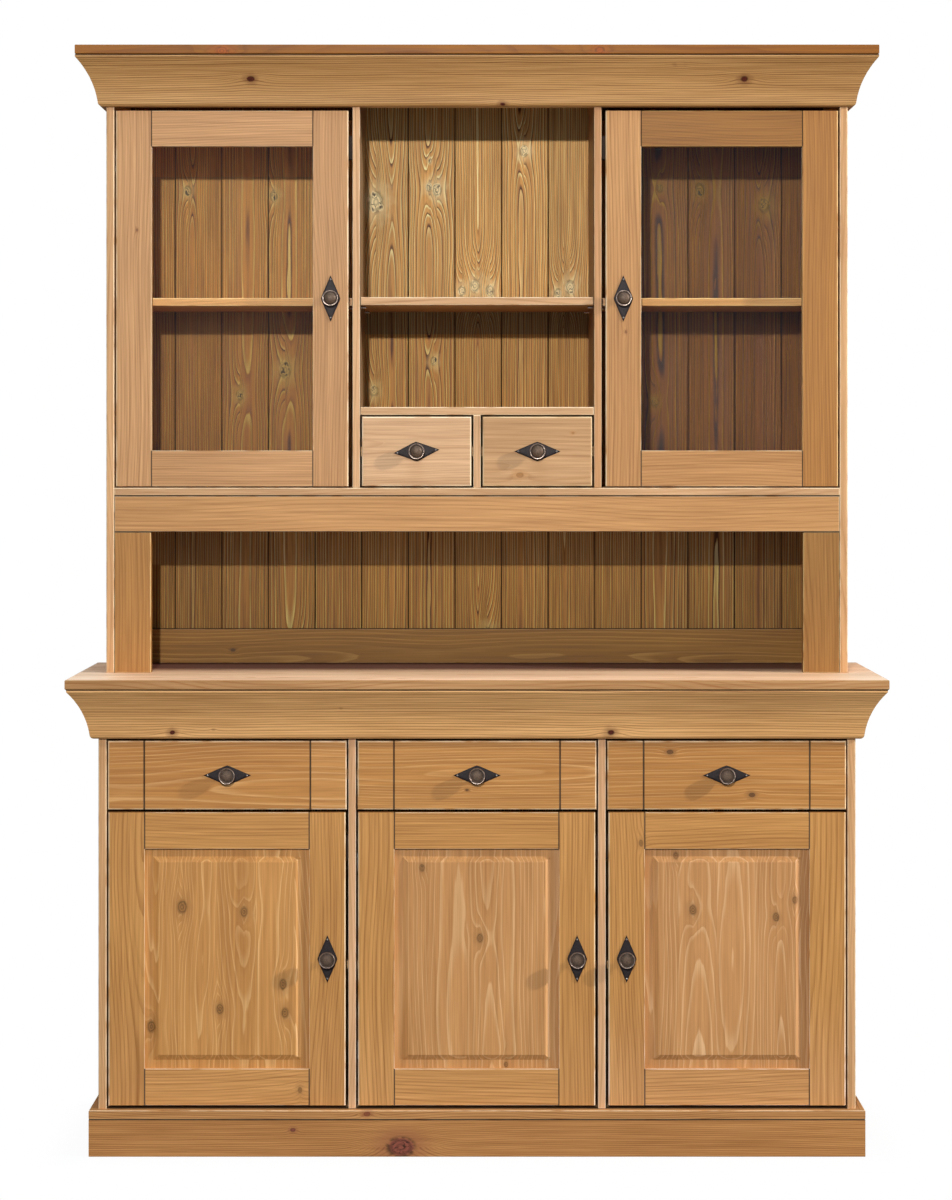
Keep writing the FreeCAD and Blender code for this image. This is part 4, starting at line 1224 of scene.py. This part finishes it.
clad("base_shelves", pine("base_shelves_pine", "xyz", inside_pine,
                          cells("base_shelves", x=bay_pitch, y=stave)))
clad("top_rails", pine("top_rails_pine", "xzy", inside_pine, cells("top_rails", x=bay_pitch, y=0.2),
                       seam_and_shade=front_strip))
clad("drawer_runners", pine("drawer_runners_pine", "yzx", inside_pine,
                            cells("drawer_runners", x=0.1, z=0.3)))
print("flat boards dressed, bay pitch", round(bay_pitch, 3))

# %% [markdown]
# ## Drawer bay and serving nook
# The small drawers share a bay with an upright in the middle, under a board of their own. Below it
# the hutch stands on a low nook: a post at each end, an apron between them and a rail at the back.
# In both nodes some boards are upright and others lie across, and a mask on height tells them apart.
# The posts are darker than the apron, most of all on the right, so each post has its tint.

# %% Drawer bay and serving nook
bay_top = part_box("drawer_bay_boards")[1].z
post_joint_half_width = 0.0014
apron_height = 0.068
rail_knots = ((233, 650, 3),)
in_bay = below(bay_top - board_thickness)
# Painted shade: a thin dark line along the front edge of the middle upright, in the gaps beside the
# small drawers.
beside_upright = both(gap_shade("drawer_bay_boards", -board_thickness / 2, board_thickness / 2),
                      in_bay)
clad("drawer_bay_boards", pine("drawer_bay_pine", "xyz", small_pine,
                               cells("drawer_bay_boards", y=stave), seam_and_shade=beside_upright,
                               second=("zyx", cells("drawer_bay_boards"), in_bay)))
low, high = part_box("nook_frame")
apron_low = nook_joint - apron_height
posts = below(apron_low)
frame_joints = either(near("X", post_joint_half_width, low.x, high.x),
                      near("Z", nook_joint_half_width, apron_low, nook_joint))
clad("nook_frame", pine("nook_frame_pine", "xzy", nook_pine, cells("nook_frame"),
                        second=("zxy", cells("nook_frame", x=0.5), posts), seam_and_shade=frame_joints,
                        shade=[(both(left_half, posts), (0.725, 0.652, 0.464)),
                               (both(right_half, posts), (0.583, 0.534, 0.372))]))
low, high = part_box("nook_back_rail")
clad("nook_back_rail", pine("nook_back_rail_pine", "xzy", rail_pine, cells("nook_back_rail"),
                            knots_seen(low.y, rail_knots),
                            seam_and_shade=near("Z", post_joint_half_width, low.z, high.z)))
print("carcass dressed, apron", apron_height, "m high")

# %% [markdown]
# ## The back boards
# Fifteen matchboards close each carcass. They are the liveliest wood of all: brushed until the late
# wood stands up, and full of knots. In the photograph the shelves throw crisp shadows on them, and
# the boards in the right bay and in the low nook look duller than those in the middle. Zones take
# their tone down there, give the strips in the shadows painted tints, and paint a dark band of shade
# where the boards show through the gap above the glazed doors. They touch only the face that shows,
# because the rear of the boards is evenly lit.

# %% Back boards and their knots
back_low, back_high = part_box("hutch_back_boards")
matchboard_count = 15
board_pitch = (back_high.x - back_low.x) / matchboard_count
joint_shift = 0.0025
middle_knots = ((376, 202, 14), (430, 161, 3), (429, 187, 6), (437, 190, 9), (462, 291, 7),
                (475, 286, 9), (490, 291, 8), (524, 151, 8), (558, 293, 6), (570, 287, 9),
                (374, 391, 8), (434, 361, 6))
side_knots = ((188, 191, 7), (274, 196, 7), (285, 370, 11), (240, 395, 7), (660, 188, 6), (700, 190, 9),
              (764, 205, 10), (655, 402, 7))


def matchboards(node, knots, zones):
    """Upright boards with a dark joint between each two, and zones of shade on the face that shows."""
    low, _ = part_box(node)
    grid = cells(node, x=board_pitch)
    grid[1][0] += joint_shift
    shade = [(both(front_face(node), zone), tint) for zone, tint in zones]
    clad(node, pine(node + "_pine", "zxy", back_pine, grid, knots, shade=shade,
                    seam_and_shade=at_each("X", board_pitch, low.x + joint_shift, joint_half_width)))


print("pitch of the back boards:", round(board_pitch, 4))

# %% Zones of light on the back boards
shelf_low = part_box("hutch_shelves")[0].z
bay_shadow, low_bay_shadow, glass_shadow, nook_shadow = 1.9046, 1.523, 1.8336, 1.0717
door_gap_low = 1.945
bright_pair = (-0.0434, 0.141)
in_nook = below(nook_joint)
in_left = both(between("X", -out_of_reach, left_bay), above(nook_joint))
in_middle = both(between("X", left_bay, right_bay), above(nook_joint))
in_right = both(between("X", right_bay, out_of_reach), above(nook_joint))
behind_glass = either(in_left, in_right)
under_shelf = between("Z", nook_joint, shelf_low)
nook_middle = both(rising("X", -0.5, -0.12), rising("X", 0.5, 0.12))
nook_shadow_edge = rising("Z", nook_shadow - 0.006, nook_shadow)
bright_boards = both(between("X", *bright_pair), between("Z", shelf_low, bay_shadow))
# Each zone is a mask with the shares of red, green and blue that stay. The strips in the shadows of the
# top, the shelves and the apron get painted tints, and above door_gap_low a band of painted shade fills
# what shows through the gap over the glazed doors.
zones = [
    (in_left, (0.858, 0.72, 0.512)),
    (in_right, (0.34, 0.222, 0.035)),
    (under_shelf, (0.7, 0.63, 0.44)),
    (both(in_right, under_shelf), (1.37, 1.42, 1.58)),
    (both(in_middle, under_shelf), (1.08, 1.06, 1.1)),
    (in_nook, (0.44, 0.375, 0.235)),
    (both(nook_middle, in_nook), (1.3, 1.3, 1.26)),
    (both(nook_shadow_edge, in_nook), (1.4, 1.62, 2.8)),
    (both(in_middle, above(bay_shadow)), (0.78, 0.87, 0.95)),
    (both(in_middle, between("Z", low_bay_shadow, shelf_low)), (0.6, 0.72, 1.0)),
    (both(behind_glass, above(glass_shadow)), (1.3, 1.15, 0.9)),
    # Painted shade behind the gap above the glazed doors.
    (both(behind_glass, above(door_gap_low)), (0.2, 0.2, 0.2)),
    (both(in_middle, bright_boards), (1.14, 1.12, 1.1)),
]
matchboards("hutch_back_boards", knots_seen(back_low.y, middle_knots + side_knots), zones)
matchboards("base_back_boards", (), ())
print("back boards dressed, zones of light:", len(zones))

# %% [markdown]
# ## Door frames
# A door frame is two upright stiles with two rails tenoned between them, all in one node. The mask
# between the stiles turns the grain of the rails, and a thin dark line marks each joint. At the
# foot the doors of the base are a little brighter and cooler, because light comes up from below.

# %% Door frames
frame_member = 0.067
frame_joint_half_width = 0.0017
at_the_foot = rising("Z", 0.34, 0.1)
foot_shade = {"left": (1.09, 1.1, 1.24), "middle": (1.07, 1.09, 1.25), "right": (1.15, 1.2, 1.55)}
base_door_knots = {"left": ((300, 1090, 4),), "middle": (), "right": ((641, 843, 4),)}
glass_left_knots, glass_right_knots = ((137, 230, 2),), ((626, 332, 2),)


def framed(node, kind, knots=(), shade=()):
    """Two upright stiles and two rails between them."""
    low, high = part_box(node)
    half = (high - low) / 2
    rails = between("X", low.x + frame_member, high.x - frame_member)
    joints = both(near("X", frame_joint_half_width, low.x + frame_member, high.x - frame_member),
                  outside("Z", low.z + frame_member, high.z - frame_member))
    clad(node, pine(node + "_pine", "zxy", kind, cells(node, x=half.x), knots,
                    second=("xzy", cells(node, z=half.z), rails), seam_and_shade=joints, shade=shade))


for side, pixels in base_door_knots.items():
    framed("base_door_" + side + "_frame", lower_pine, knots_seen(base_low.y, pixels),
           [(at_the_foot, foot_shade[side])])
framed("glass_door_left_frame", upper_pine, knots_seen(hutch_low.y, glass_left_knots))
# Painted shade on the right glazed door: its right stile and top rail are darker, where the light falls
# off towards the upper right.
low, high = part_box("glass_door_right_frame")
right_stile = between("X", high.x - frame_member, high.x)
top_rail = both(between("X", low.x + frame_member, high.x - frame_member),
                between("Z", high.z - frame_member, high.z))
framed("glass_door_right_frame", right_pine, knots_seen(hutch_low.y, glass_right_knots),
       [(right_stile, (0.795, 0.7, 0.483)), (top_rail, (0.6, 0.517, 0.318))])
print("door frames dressed, stiles and rails", frame_member, "m wide")

# %% [markdown]
# ## Raised panels
# The panel of a base door is glued up from narrow staves and stands up in the middle, with a bevel
# and a flat border round it. In the photograph the bevel on the right is paler than the rest, since
# it faces the light from the side, and the border beyond it is darker, so both have tints.

# %% Raised panels
panel_knots = {
    "base_door_left_panel": ((182, 907, 9), (244, 912, 7), (285, 1013, 7), (220, 1009, 7),
                             (151, 1027, 8), (283, 984, 7)),
    "base_door_middle_panel": ((422, 868, 5), (480, 938, 6), (506, 1065, 4)),
    "base_door_right_panel": ((693, 910, 7), (776, 917, 6), (676, 856, 5), (795, 900, 5)),
}
panel_shade = {"base_door_left_panel": (1.08, 1.07, 1.01), "base_door_middle_panel": (1.03, 1.05, 1.18),
               "base_door_right_panel": (1.01, 1.03, 1.2)}
bevel_shade, border_shade = (1.3, 1.4, 1.7), (0.84, 0.82, 0.82)
stave_width = 0.071
bevel_inset, bevel_half_width, half_bevel = 0.0295, 0.0062, 0.005
for node, pixels in panel_knots.items():
    low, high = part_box(node)
    bevel = both(near("X", bevel_half_width, high.x - bevel_inset),
                 between("Z", low.z + bevel_inset, high.z - bevel_inset))
    right_border = between("X", high.x - bevel_inset + half_bevel, high.x)
    tints = [(bevel, bevel_shade), (right_border, border_shade), (everywhere, panel_shade[node])]
    clad(node, pine(node + "_pine", "zxy", panel_pine, cells(node, x=stave_width),
                    knots_seen(low.y, pixels), shade=tints))
print("panels dressed:", len(panel_knots))

# %% [markdown]
# ## Drawers
# A drawer front is one wide board. Those of the base have two upright grooves that line up with the
# stiles of the doors below. The boxes behind them are plain thin pine, with the sides running from
# front to back and the other walls across.

# %% Drawers
front_knots = {
    "base_drawer_left": (), "base_drawer_middle": ((467, 790, 2),),
    "base_drawer_right": ((670, 752, 4), (752, 795, 4)),
    "small_drawer_left": (), "small_drawer_right": ((520, 475, 5), (573, 433, 2)),
}
front_shade = {"small_drawer_left": (1.06, 1.1, 1.18), "small_drawer_right": (0.84, 0.81, 0.73),
               "base_drawer_left": (0.96, 0.94, 0.93)}
light_end = {"base_drawer_left": (1.09, 1.14, 1.25), "base_drawer_middle": (1.06, 1.08, 1.16)}
groove_half_width = 0.0024
box_side = 0.013
for name, pixels in front_knots.items():
    node = name + "_front"
    low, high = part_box(node)
    wide = name.startswith("base")
    grooves = near("X", groove_half_width, low.x + frame_member, high.x - frame_member)
    shade = [(everywhere, front_shade[name])] if name in front_shade else []
    if name in light_end:
        shade.append((between("X", high.x - frame_member, high.x), light_end[name]))
    clad(node, pine(node + "_pine", "xzy", drawer_pine if wide else small_pine, cells(node),
                    knots_seen(low.y, pixels), seam_and_shade=grooves if wide else None, shade=shade))
    node = name + "_box"
    low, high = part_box(node)
    walls = between("X", low.x + box_side, high.x - box_side)
    clad(node, pine(node + "_pine", "yzx", inside_pine, cells(node, x=0.2),
                    second=("xyz", cells(node), walls)))
print("drawers dressed:", len(front_knots), "finishes of pine in all:", board_count)

# %% [markdown]
# ## Panes of glass
# The panes are clear float glass. A renderer would find a lamp through glass only by chance, so rays
# that ask for light, and those that bounce off wood, pass straight through with a slight loss, while
# the eye sees real glass. It mirrors very little, and a faint cloud of wiping marks breaks its gloss.

# %% Panes of glass
glass_tint = (0.93, 0.94, 0.93, 1.0)


def make_pane_glass():
    """Clear for light on its way to the wood, and real glass for the eye."""
    material, tree, shader, coordinates = new_material("pane_glass")
    shader.inputs["Base Color"].default_value = glass_tint
    shader.inputs["Transmission Weight"].default_value = 1.0
    shader.inputs["IOR"].default_value = 1.45
    shader.inputs["Specular IOR Level"].default_value = 0.1
    wipe = cloud(tree, stretch(tree, coordinates["Object"], (5.0, 5.0, 3.0)), 3.0)
    wire(tree, shader.inputs["Roughness"], times(tree, wipe, 0.02))
    clear = put(tree, "ShaderNodeBsdfTransparent", {"Color": glass_tint})
    path = put(tree, "ShaderNodeLightPath").outputs
    asks = larger(tree, path["Is Shadow Ray"], path["Is Diffuse Ray"])
    mix = put(tree, "ShaderNodeMixShader", {0: asks, 1: shader.outputs[0], 2: clear.outputs[0]})
    wire(tree, tree.nodes["Material Output"].inputs["Surface"], mix.outputs[0])
    return material


pane_glass = make_pane_glass()
for name in ("glass_door_left_pane", "glass_door_right_pane"):
    clad(name, pane_glass)
print("panes glazed with", pane_glass.name)

# %% [markdown]
# ## Steel and plastic
# The cup hinges and the shelf pins are nickel plated steel, and the catches are brown plastic. All
# three have fine brush or mould marks and soft clouds, so one recipe makes them, with other colours
# and without the metal for the plastic.

# %% Steel and plastic
fitting_shine = 0.3
brush_depth = 0.0003
brush_marks = (400.0, 400.0, 60.0)
tarnish_scale = (45.0, 45.0, 45.0)


def make_fitting(name, dark, light, roughness, metallic=1.0):
    """A metal or plastic with fine brush marks and soft clouds of tarnish."""
    material, tree, shader, coordinates = new_material(name)
    marks = cloud(tree, stretch(tree, coordinates["Object"], brush_marks), 3.0)
    tarnish = cloud(tree, stretch(tree, coordinates["Object"], tarnish_scale), 3.0)
    wire(tree, shader.inputs["Base Color"], blend(tree, ramp(tree, tarnish, 0.3, 0.7), dark, light))
    shader.inputs["Metallic"].default_value = metallic
    shader.inputs["Specular IOR Level"].default_value = fitting_shine
    wire(tree, shader.inputs["Roughness"], scaled(tree, marks, 0.18, roughness))
    bump = put(tree, "ShaderNodeBump", {"Height": marks, "Strength": 0.15, "Distance": brush_depth})
    wire(tree, shader.inputs["Normal"], bump.outputs[0])
    return material


hinge_steel = make_fitting("hinge_steel", paint(150, 150, 152), paint(198, 198, 200), 0.22)
pin_steel = make_fitting("pin_steel", paint(205, 206, 210), paint(240, 240, 244), 0.16)
catch_plastic = make_fitting("catch_plastic", paint(46, 31, 21), paint(60, 42, 29), 0.6, 0.0)
hinge_parts = [name for name in nodes if name.endswith("hinge_cups") or name == "hinge_arms"]
for name in hinge_parts:
    clad(name, hinge_steel)
clad("shelf_pins", pin_steel)
clad("door_catches", catch_plastic)
print("fittings dressed, nodes of hinge parts:", len(hinge_parts))

# %% [markdown]
# ## The iron pulls
# Each pull is a forged diamond plate, two small nails in its tips and a cast knob with a raised rim,
# held by a screw from behind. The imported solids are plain, so these pieces replace them: the plate
# is a flat face drawn out and bevelled, then dented as by a hammer, and the knob is a profile spun
# about its axis. Sculpting would also do, but a profile keeps the knob round and easy to change.
# Each point stores how rubbed it is, so that rims and edges can shine where fingers touch them.

# %% The measures of a pull, in millimetres
plate_half_length, plate_half_height, plate_thick = 43.5, 18.25, 1.8
knob_neck = [(0, 0), (7, 0), (6.2, 1.2), (5.5, 4.5), (6.6, 7.5), (10, 9.6), (13.4, 11.6), (14.8, 14),
             (15, 16.4), (14.7, 18.2), (14, 19), (13.3, 18.9), (12.8, 18.1)]
flat_face = [(12.2, 17.8), (9, 18.4), (5, 18.9), (0, 19.1)]
domed_face = [(11.6, 17.8), (11, 18.4), (9.4, 20), (6.6, 21.6), (3.4, 22.5), (0, 22.8)]
knob_steps = 56
nail_profile = [(0, -9), (0.6, -9), (0.6, 0), (1.7, 0), (1.6, 0.5), (1.1, 1.0), (0.5, 1.25), (0, 1.3)]
nail_reach = 36.0
screw_profile = [(0, 11), (2, 11), (2, -22), (4.5, -22), (4.5, -23.6), (3.6, -24.5), (1.4, -24.5),
                 (1.2, -23.4), (0, -23.4)]
print("plate", 2 * plate_half_length, "by", 2 * plate_half_height, "mm")

# %% Spin a round piece
def spun(profile, steps):
    """A closed round piece from a profile of radius and distance out from the plate."""
    work = bmesh.new()
    points = [work.verts.new((radius, -out, 0)) for radius, out in profile]
    edges = [work.edges.new(pair) for pair in zip(points, points[1:])]
    bmesh.ops.spin(work, geom=points + edges, cent=(0, 0, 0), axis=(0, 1, 0), angle=math.tau,
                   steps=steps, use_merge=True)
    bmesh.ops.remove_doubles(work, verts=work.verts, dist=0.01)
    bmesh.ops.recalc_face_normals(work, faces=work.faces)
    return work


print("knob profile points:", len(knob_neck + domed_face))

# %% Forge a plate
plate_bevel, longest_edge = 0.7, 4.0
shoulder_along, shoulder_across = 0.13, 0.9


def forged_plate():
    """The back plate: a long diamond with blunt shoulders and a bevelled front edge."""
    work = bmesh.new()
    shoulder = (plate_half_length * shoulder_along, plate_half_height * shoulder_across)
    quarter = [(plate_half_length, 0), shoulder, (0, plate_half_height)]
    outline = quarter + [(-x, z) for x, z in reversed(quarter[:2])]
    outline += [(x, -z) for x, z in reversed(outline[1:-1])]
    face = work.faces.new([work.verts.new((x, 0, z)) for x, z in outline])
    lifted = bmesh.ops.extrude_face_region(work, geom=[face])["geom"]
    front = [part for part in lifted if isinstance(part, bmesh.types.BMVert)]
    bmesh.ops.translate(work, verts=front, vec=(0, -plate_thick, 0))
    rim = [edge for edge in work.edges if all(vert.co.y < -plate_thick / 2 for vert in edge.verts)]
    bmesh.ops.bevel(work, geom=rim, offset=plate_bevel, offset_type="OFFSET", segments=2, profile=0.5,
                    affect="EDGES", material=-1)
    bmesh.ops.triangulate(work, faces=work.faces)
    for _ in range(3):
        long_edges = [edge for edge in work.edges if edge.calc_length() > longest_edge]
        bmesh.ops.subdivide_edges(work, edges=long_edges, cuts=1)
        bmesh.ops.triangulate(work, faces=work.faces)
    bmesh.ops.recalc_face_normals(work, faces=work.faces)
    return work


print("plate bevel", plate_bevel, "mm")

# %% Hammer marks, wear and place
dent_depth = 0.22
dents_apart = (7.3, 3.1)
fine_dents_to_a_dent, fine_dent_share = 2.3, 0.5
sharp_angle = math.radians(38)


def hammered(work, seed, cell):
    """Dent the front of a piece, as a hammer leaves it, with one broad dent to a cell."""
    for vert in work.verts:
        if vert.normal.y < -0.5:
            spot = Vector((vert.co.x / cell + seed * dents_apart[0], seed * dents_apart[1],
                           vert.co.z / cell))
            fine_dents = fine_dent_share * perlin.noise(spot * fine_dents_to_a_dent)
            vert.co.y += dent_depth * (perlin.noise(spot) + fine_dents)
    return work


def finish_piece(name, work, body, place, angle, material, rubbed):
    """Carry a small part of a pull to its place, store its wear and make it an object."""
    wear = work.verts.layers.float.new("wear")
    for vert in work.verts:
        vert[wear] = rubbed(vert.co)
    turn = Matrix.Rotation(-angle, 4, "Y")
    move = Matrix.Translation(place) @ Matrix.Diagonal((millimetre, millimetre, millimetre, 1)) @ turn
    bmesh.ops.transform(work, matrix=move, verts=work.verts)
    for face in work.faces:
        face.smooth = True
    mesh = bpy.data.meshes.new(name)
    work.to_mesh(mesh)
    work.free()
    mesh.set_sharp_from_angle(angle=sharp_angle)
    mesh.materials.append(material)
    piece = bpy.data.objects.new(name, mesh)
    bpy.context.scene.collection.objects.link(piece)
    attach(piece, body)
    return piece


print("hammer marks", dent_depth, "mm deep")

# %% [markdown]
# ## The finish of the iron
# Waxed iron is nearly black in its hollows and paler where fingers rub it, and one even grey would
# look like plastic. The stored wear says how rubbed a spot is, and two noises break it up, a broad
# one for the hammered hollows and a fine one for the grain. Plates, faces, rims and nails share the
# recipe with colours of their own, because each is touched in its own way.

# %% Iron that is dark in its hollows and rubbed on its rims
fine_grain = (900.0, 900.0, 900.0)
broad_hollows = (260.0, 260.0, 260.0)


def make_iron(name, dark, mid, bright, metallic, roughness):
    """Iron from a dark, a middle and a rubbed colour."""
    material, tree, shader, coordinates = new_material(name)
    fine = cloud(tree, stretch(tree, coordinates["Object"], fine_grain), 4.0, 0.6)
    broad = cloud(tree, stretch(tree, coordinates["Object"], broad_hollows), 3.0)
    wear = put(tree, "ShaderNodeAttribute", attribute_name="wear").outputs["Fac"]
    base = blend(tree, ramp(tree, broad, 0.35, 0.65), dark, mid)
    shine = times(tree, wear, ramp(tree, fine, 0.25, 0.6))
    wire(tree, shader.inputs["Base Color"], blend(tree, shine, base, bright))
    shader.inputs["Metallic"].default_value = metallic
    shader.inputs["Specular IOR Level"].default_value = fitting_shine
    dull = scaled(tree, fine, 0.22, roughness)
    wire(tree, shader.inputs["Roughness"], scaled(tree, shine, -0.12, dull))
    bump = put(tree, "ShaderNodeBump", {"Height": plus(tree, fine, broad), "Strength": 0.5,
                                        "Distance": 0.0003})
    wire(tree, shader.inputs["Normal"], bump.outputs[0])
    return material


plate_iron = make_iron("plate_iron", paint(18, 11, 13), paint(34, 25, 27), paint(62, 52, 56),
                       metallic=0.15, roughness=0.45)
face_iron = make_iron("face_iron", paint(20, 12, 9), paint(56, 38, 28), paint(150, 124, 104),
                      metallic=0.25, roughness=0.42)
rim_iron = make_iron("rim_iron", paint(96, 80, 74), paint(150, 132, 124), paint(226, 214, 206),
                     metallic=0.85, roughness=0.26)
nail_iron = make_iron("nail_iron", paint(96, 90, 92), paint(140, 134, 136), paint(214, 208, 206),
                      metallic=0.8, roughness=0.28)
print("iron finishes:", [iron.name for iron in (plate_iron, face_iron, rim_iron, nail_iron)])

# %% [markdown]
# ## Ten pulls in their places
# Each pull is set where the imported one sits, replaces it, and rides on its door or drawer. Linked
# copies would save work, but no two hammered pieces are alike, so each pull is dented by its own
# number. Door pulls stand upright and drawer pulls lie level, apart from the left one of the hutch,
# which was nailed on a little crooked. The knobs of the base are flat and those of the hutch domed.

# %% How rubbed each part of a pull is
plate_edge_starts, open_wear = 0.88, 0.4
crown_starts, crown_wear, side_wear = 20.5, 0.5, 0.22
nail_wear, screw_wear = 0.8, 0.5
rim_depth, rim_radius = 17, 12.6


def plate_wear(co):
    """Rubbed in the open, dark along the edge."""
    edge = abs(co.x) / plate_half_length + abs(co.z) / plate_half_height
    return 0.0 if edge > plate_edge_starts else open_wear


def knob_wear(co):
    """Rubbed on the crown."""
    return crown_wear if -co.y > crown_starts else side_wear


def polish_rim(knob, place):
    """Give the raised ring of a knob its own bright finish."""
    knob.data.materials.append(rim_iron)
    for face in knob.data.polygons:
        off = (face.center - place) / millimetre
        if -off.y > rim_depth + plate_thick and math.hypot(off.x, off.z) > rim_radius:
            face.material_index = 1


print("rims brighter beyond", rim_radius, "mm from the axis")

# %% Make and hang the pulls
crooked_pull, crooked_angle = "small_drawer_left", math.radians(4.5)
nail_steps, screw_steps = 14, 20
plate_cell, knob_cell = 5.0, 3.5


def make_pull(owner, number):
    """One pull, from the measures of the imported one."""
    low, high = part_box(owner + "_pull")
    board = owner + ("_front" if "drawer" in owner else "_frame")
    middle = (low + high) / 2
    place = Vector((middle.x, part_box(board)[0].y, middle.z))
    angle = quarter_turn if "door" in owner else 0.0
    if owner == crooked_pull:
        angle = crooked_angle
    plate = hammered(forged_plate(), number, plate_cell)
    plate = finish_piece(owner + "_pull_plate", plate, owner, place, angle, plate_iron, plate_wear)
    face = flat_face if owner.startswith("base") else domed_face
    knob = spun([(radius, out + plate_thick) for radius, out in knob_neck + face], knob_steps)
    knob = finish_piece(owner + "_pull_knob", hammered(knob, number + 0.5, knob_cell), owner, place,
                        angle, face_iron, knob_wear)
    polish_rim(knob, place)
    for side, word in ((-1, "first"), (1, "second")):
        nail = spun([(radius, out + plate_thick) for radius, out in nail_profile], nail_steps)
        bmesh.ops.translate(nail, verts=nail.verts, vec=(side * nail_reach, 0, 0))
        finish_piece(owner + "_pull_" + word + "_nail", nail, owner, place, angle, nail_iron,
                     lambda co: nail_wear)
    finish_piece(owner + "_pull_screw", spun(screw_profile, screw_steps), owner, place, angle,
                 nail_iron, lambda co: screw_wear)
    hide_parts(owner + "_pull")


owners = [body for body in frame["bodies"] if body != "root"]
for number, owner in enumerate(owners):
    make_pull(owner, number)
print("pulls made:", len(owners))
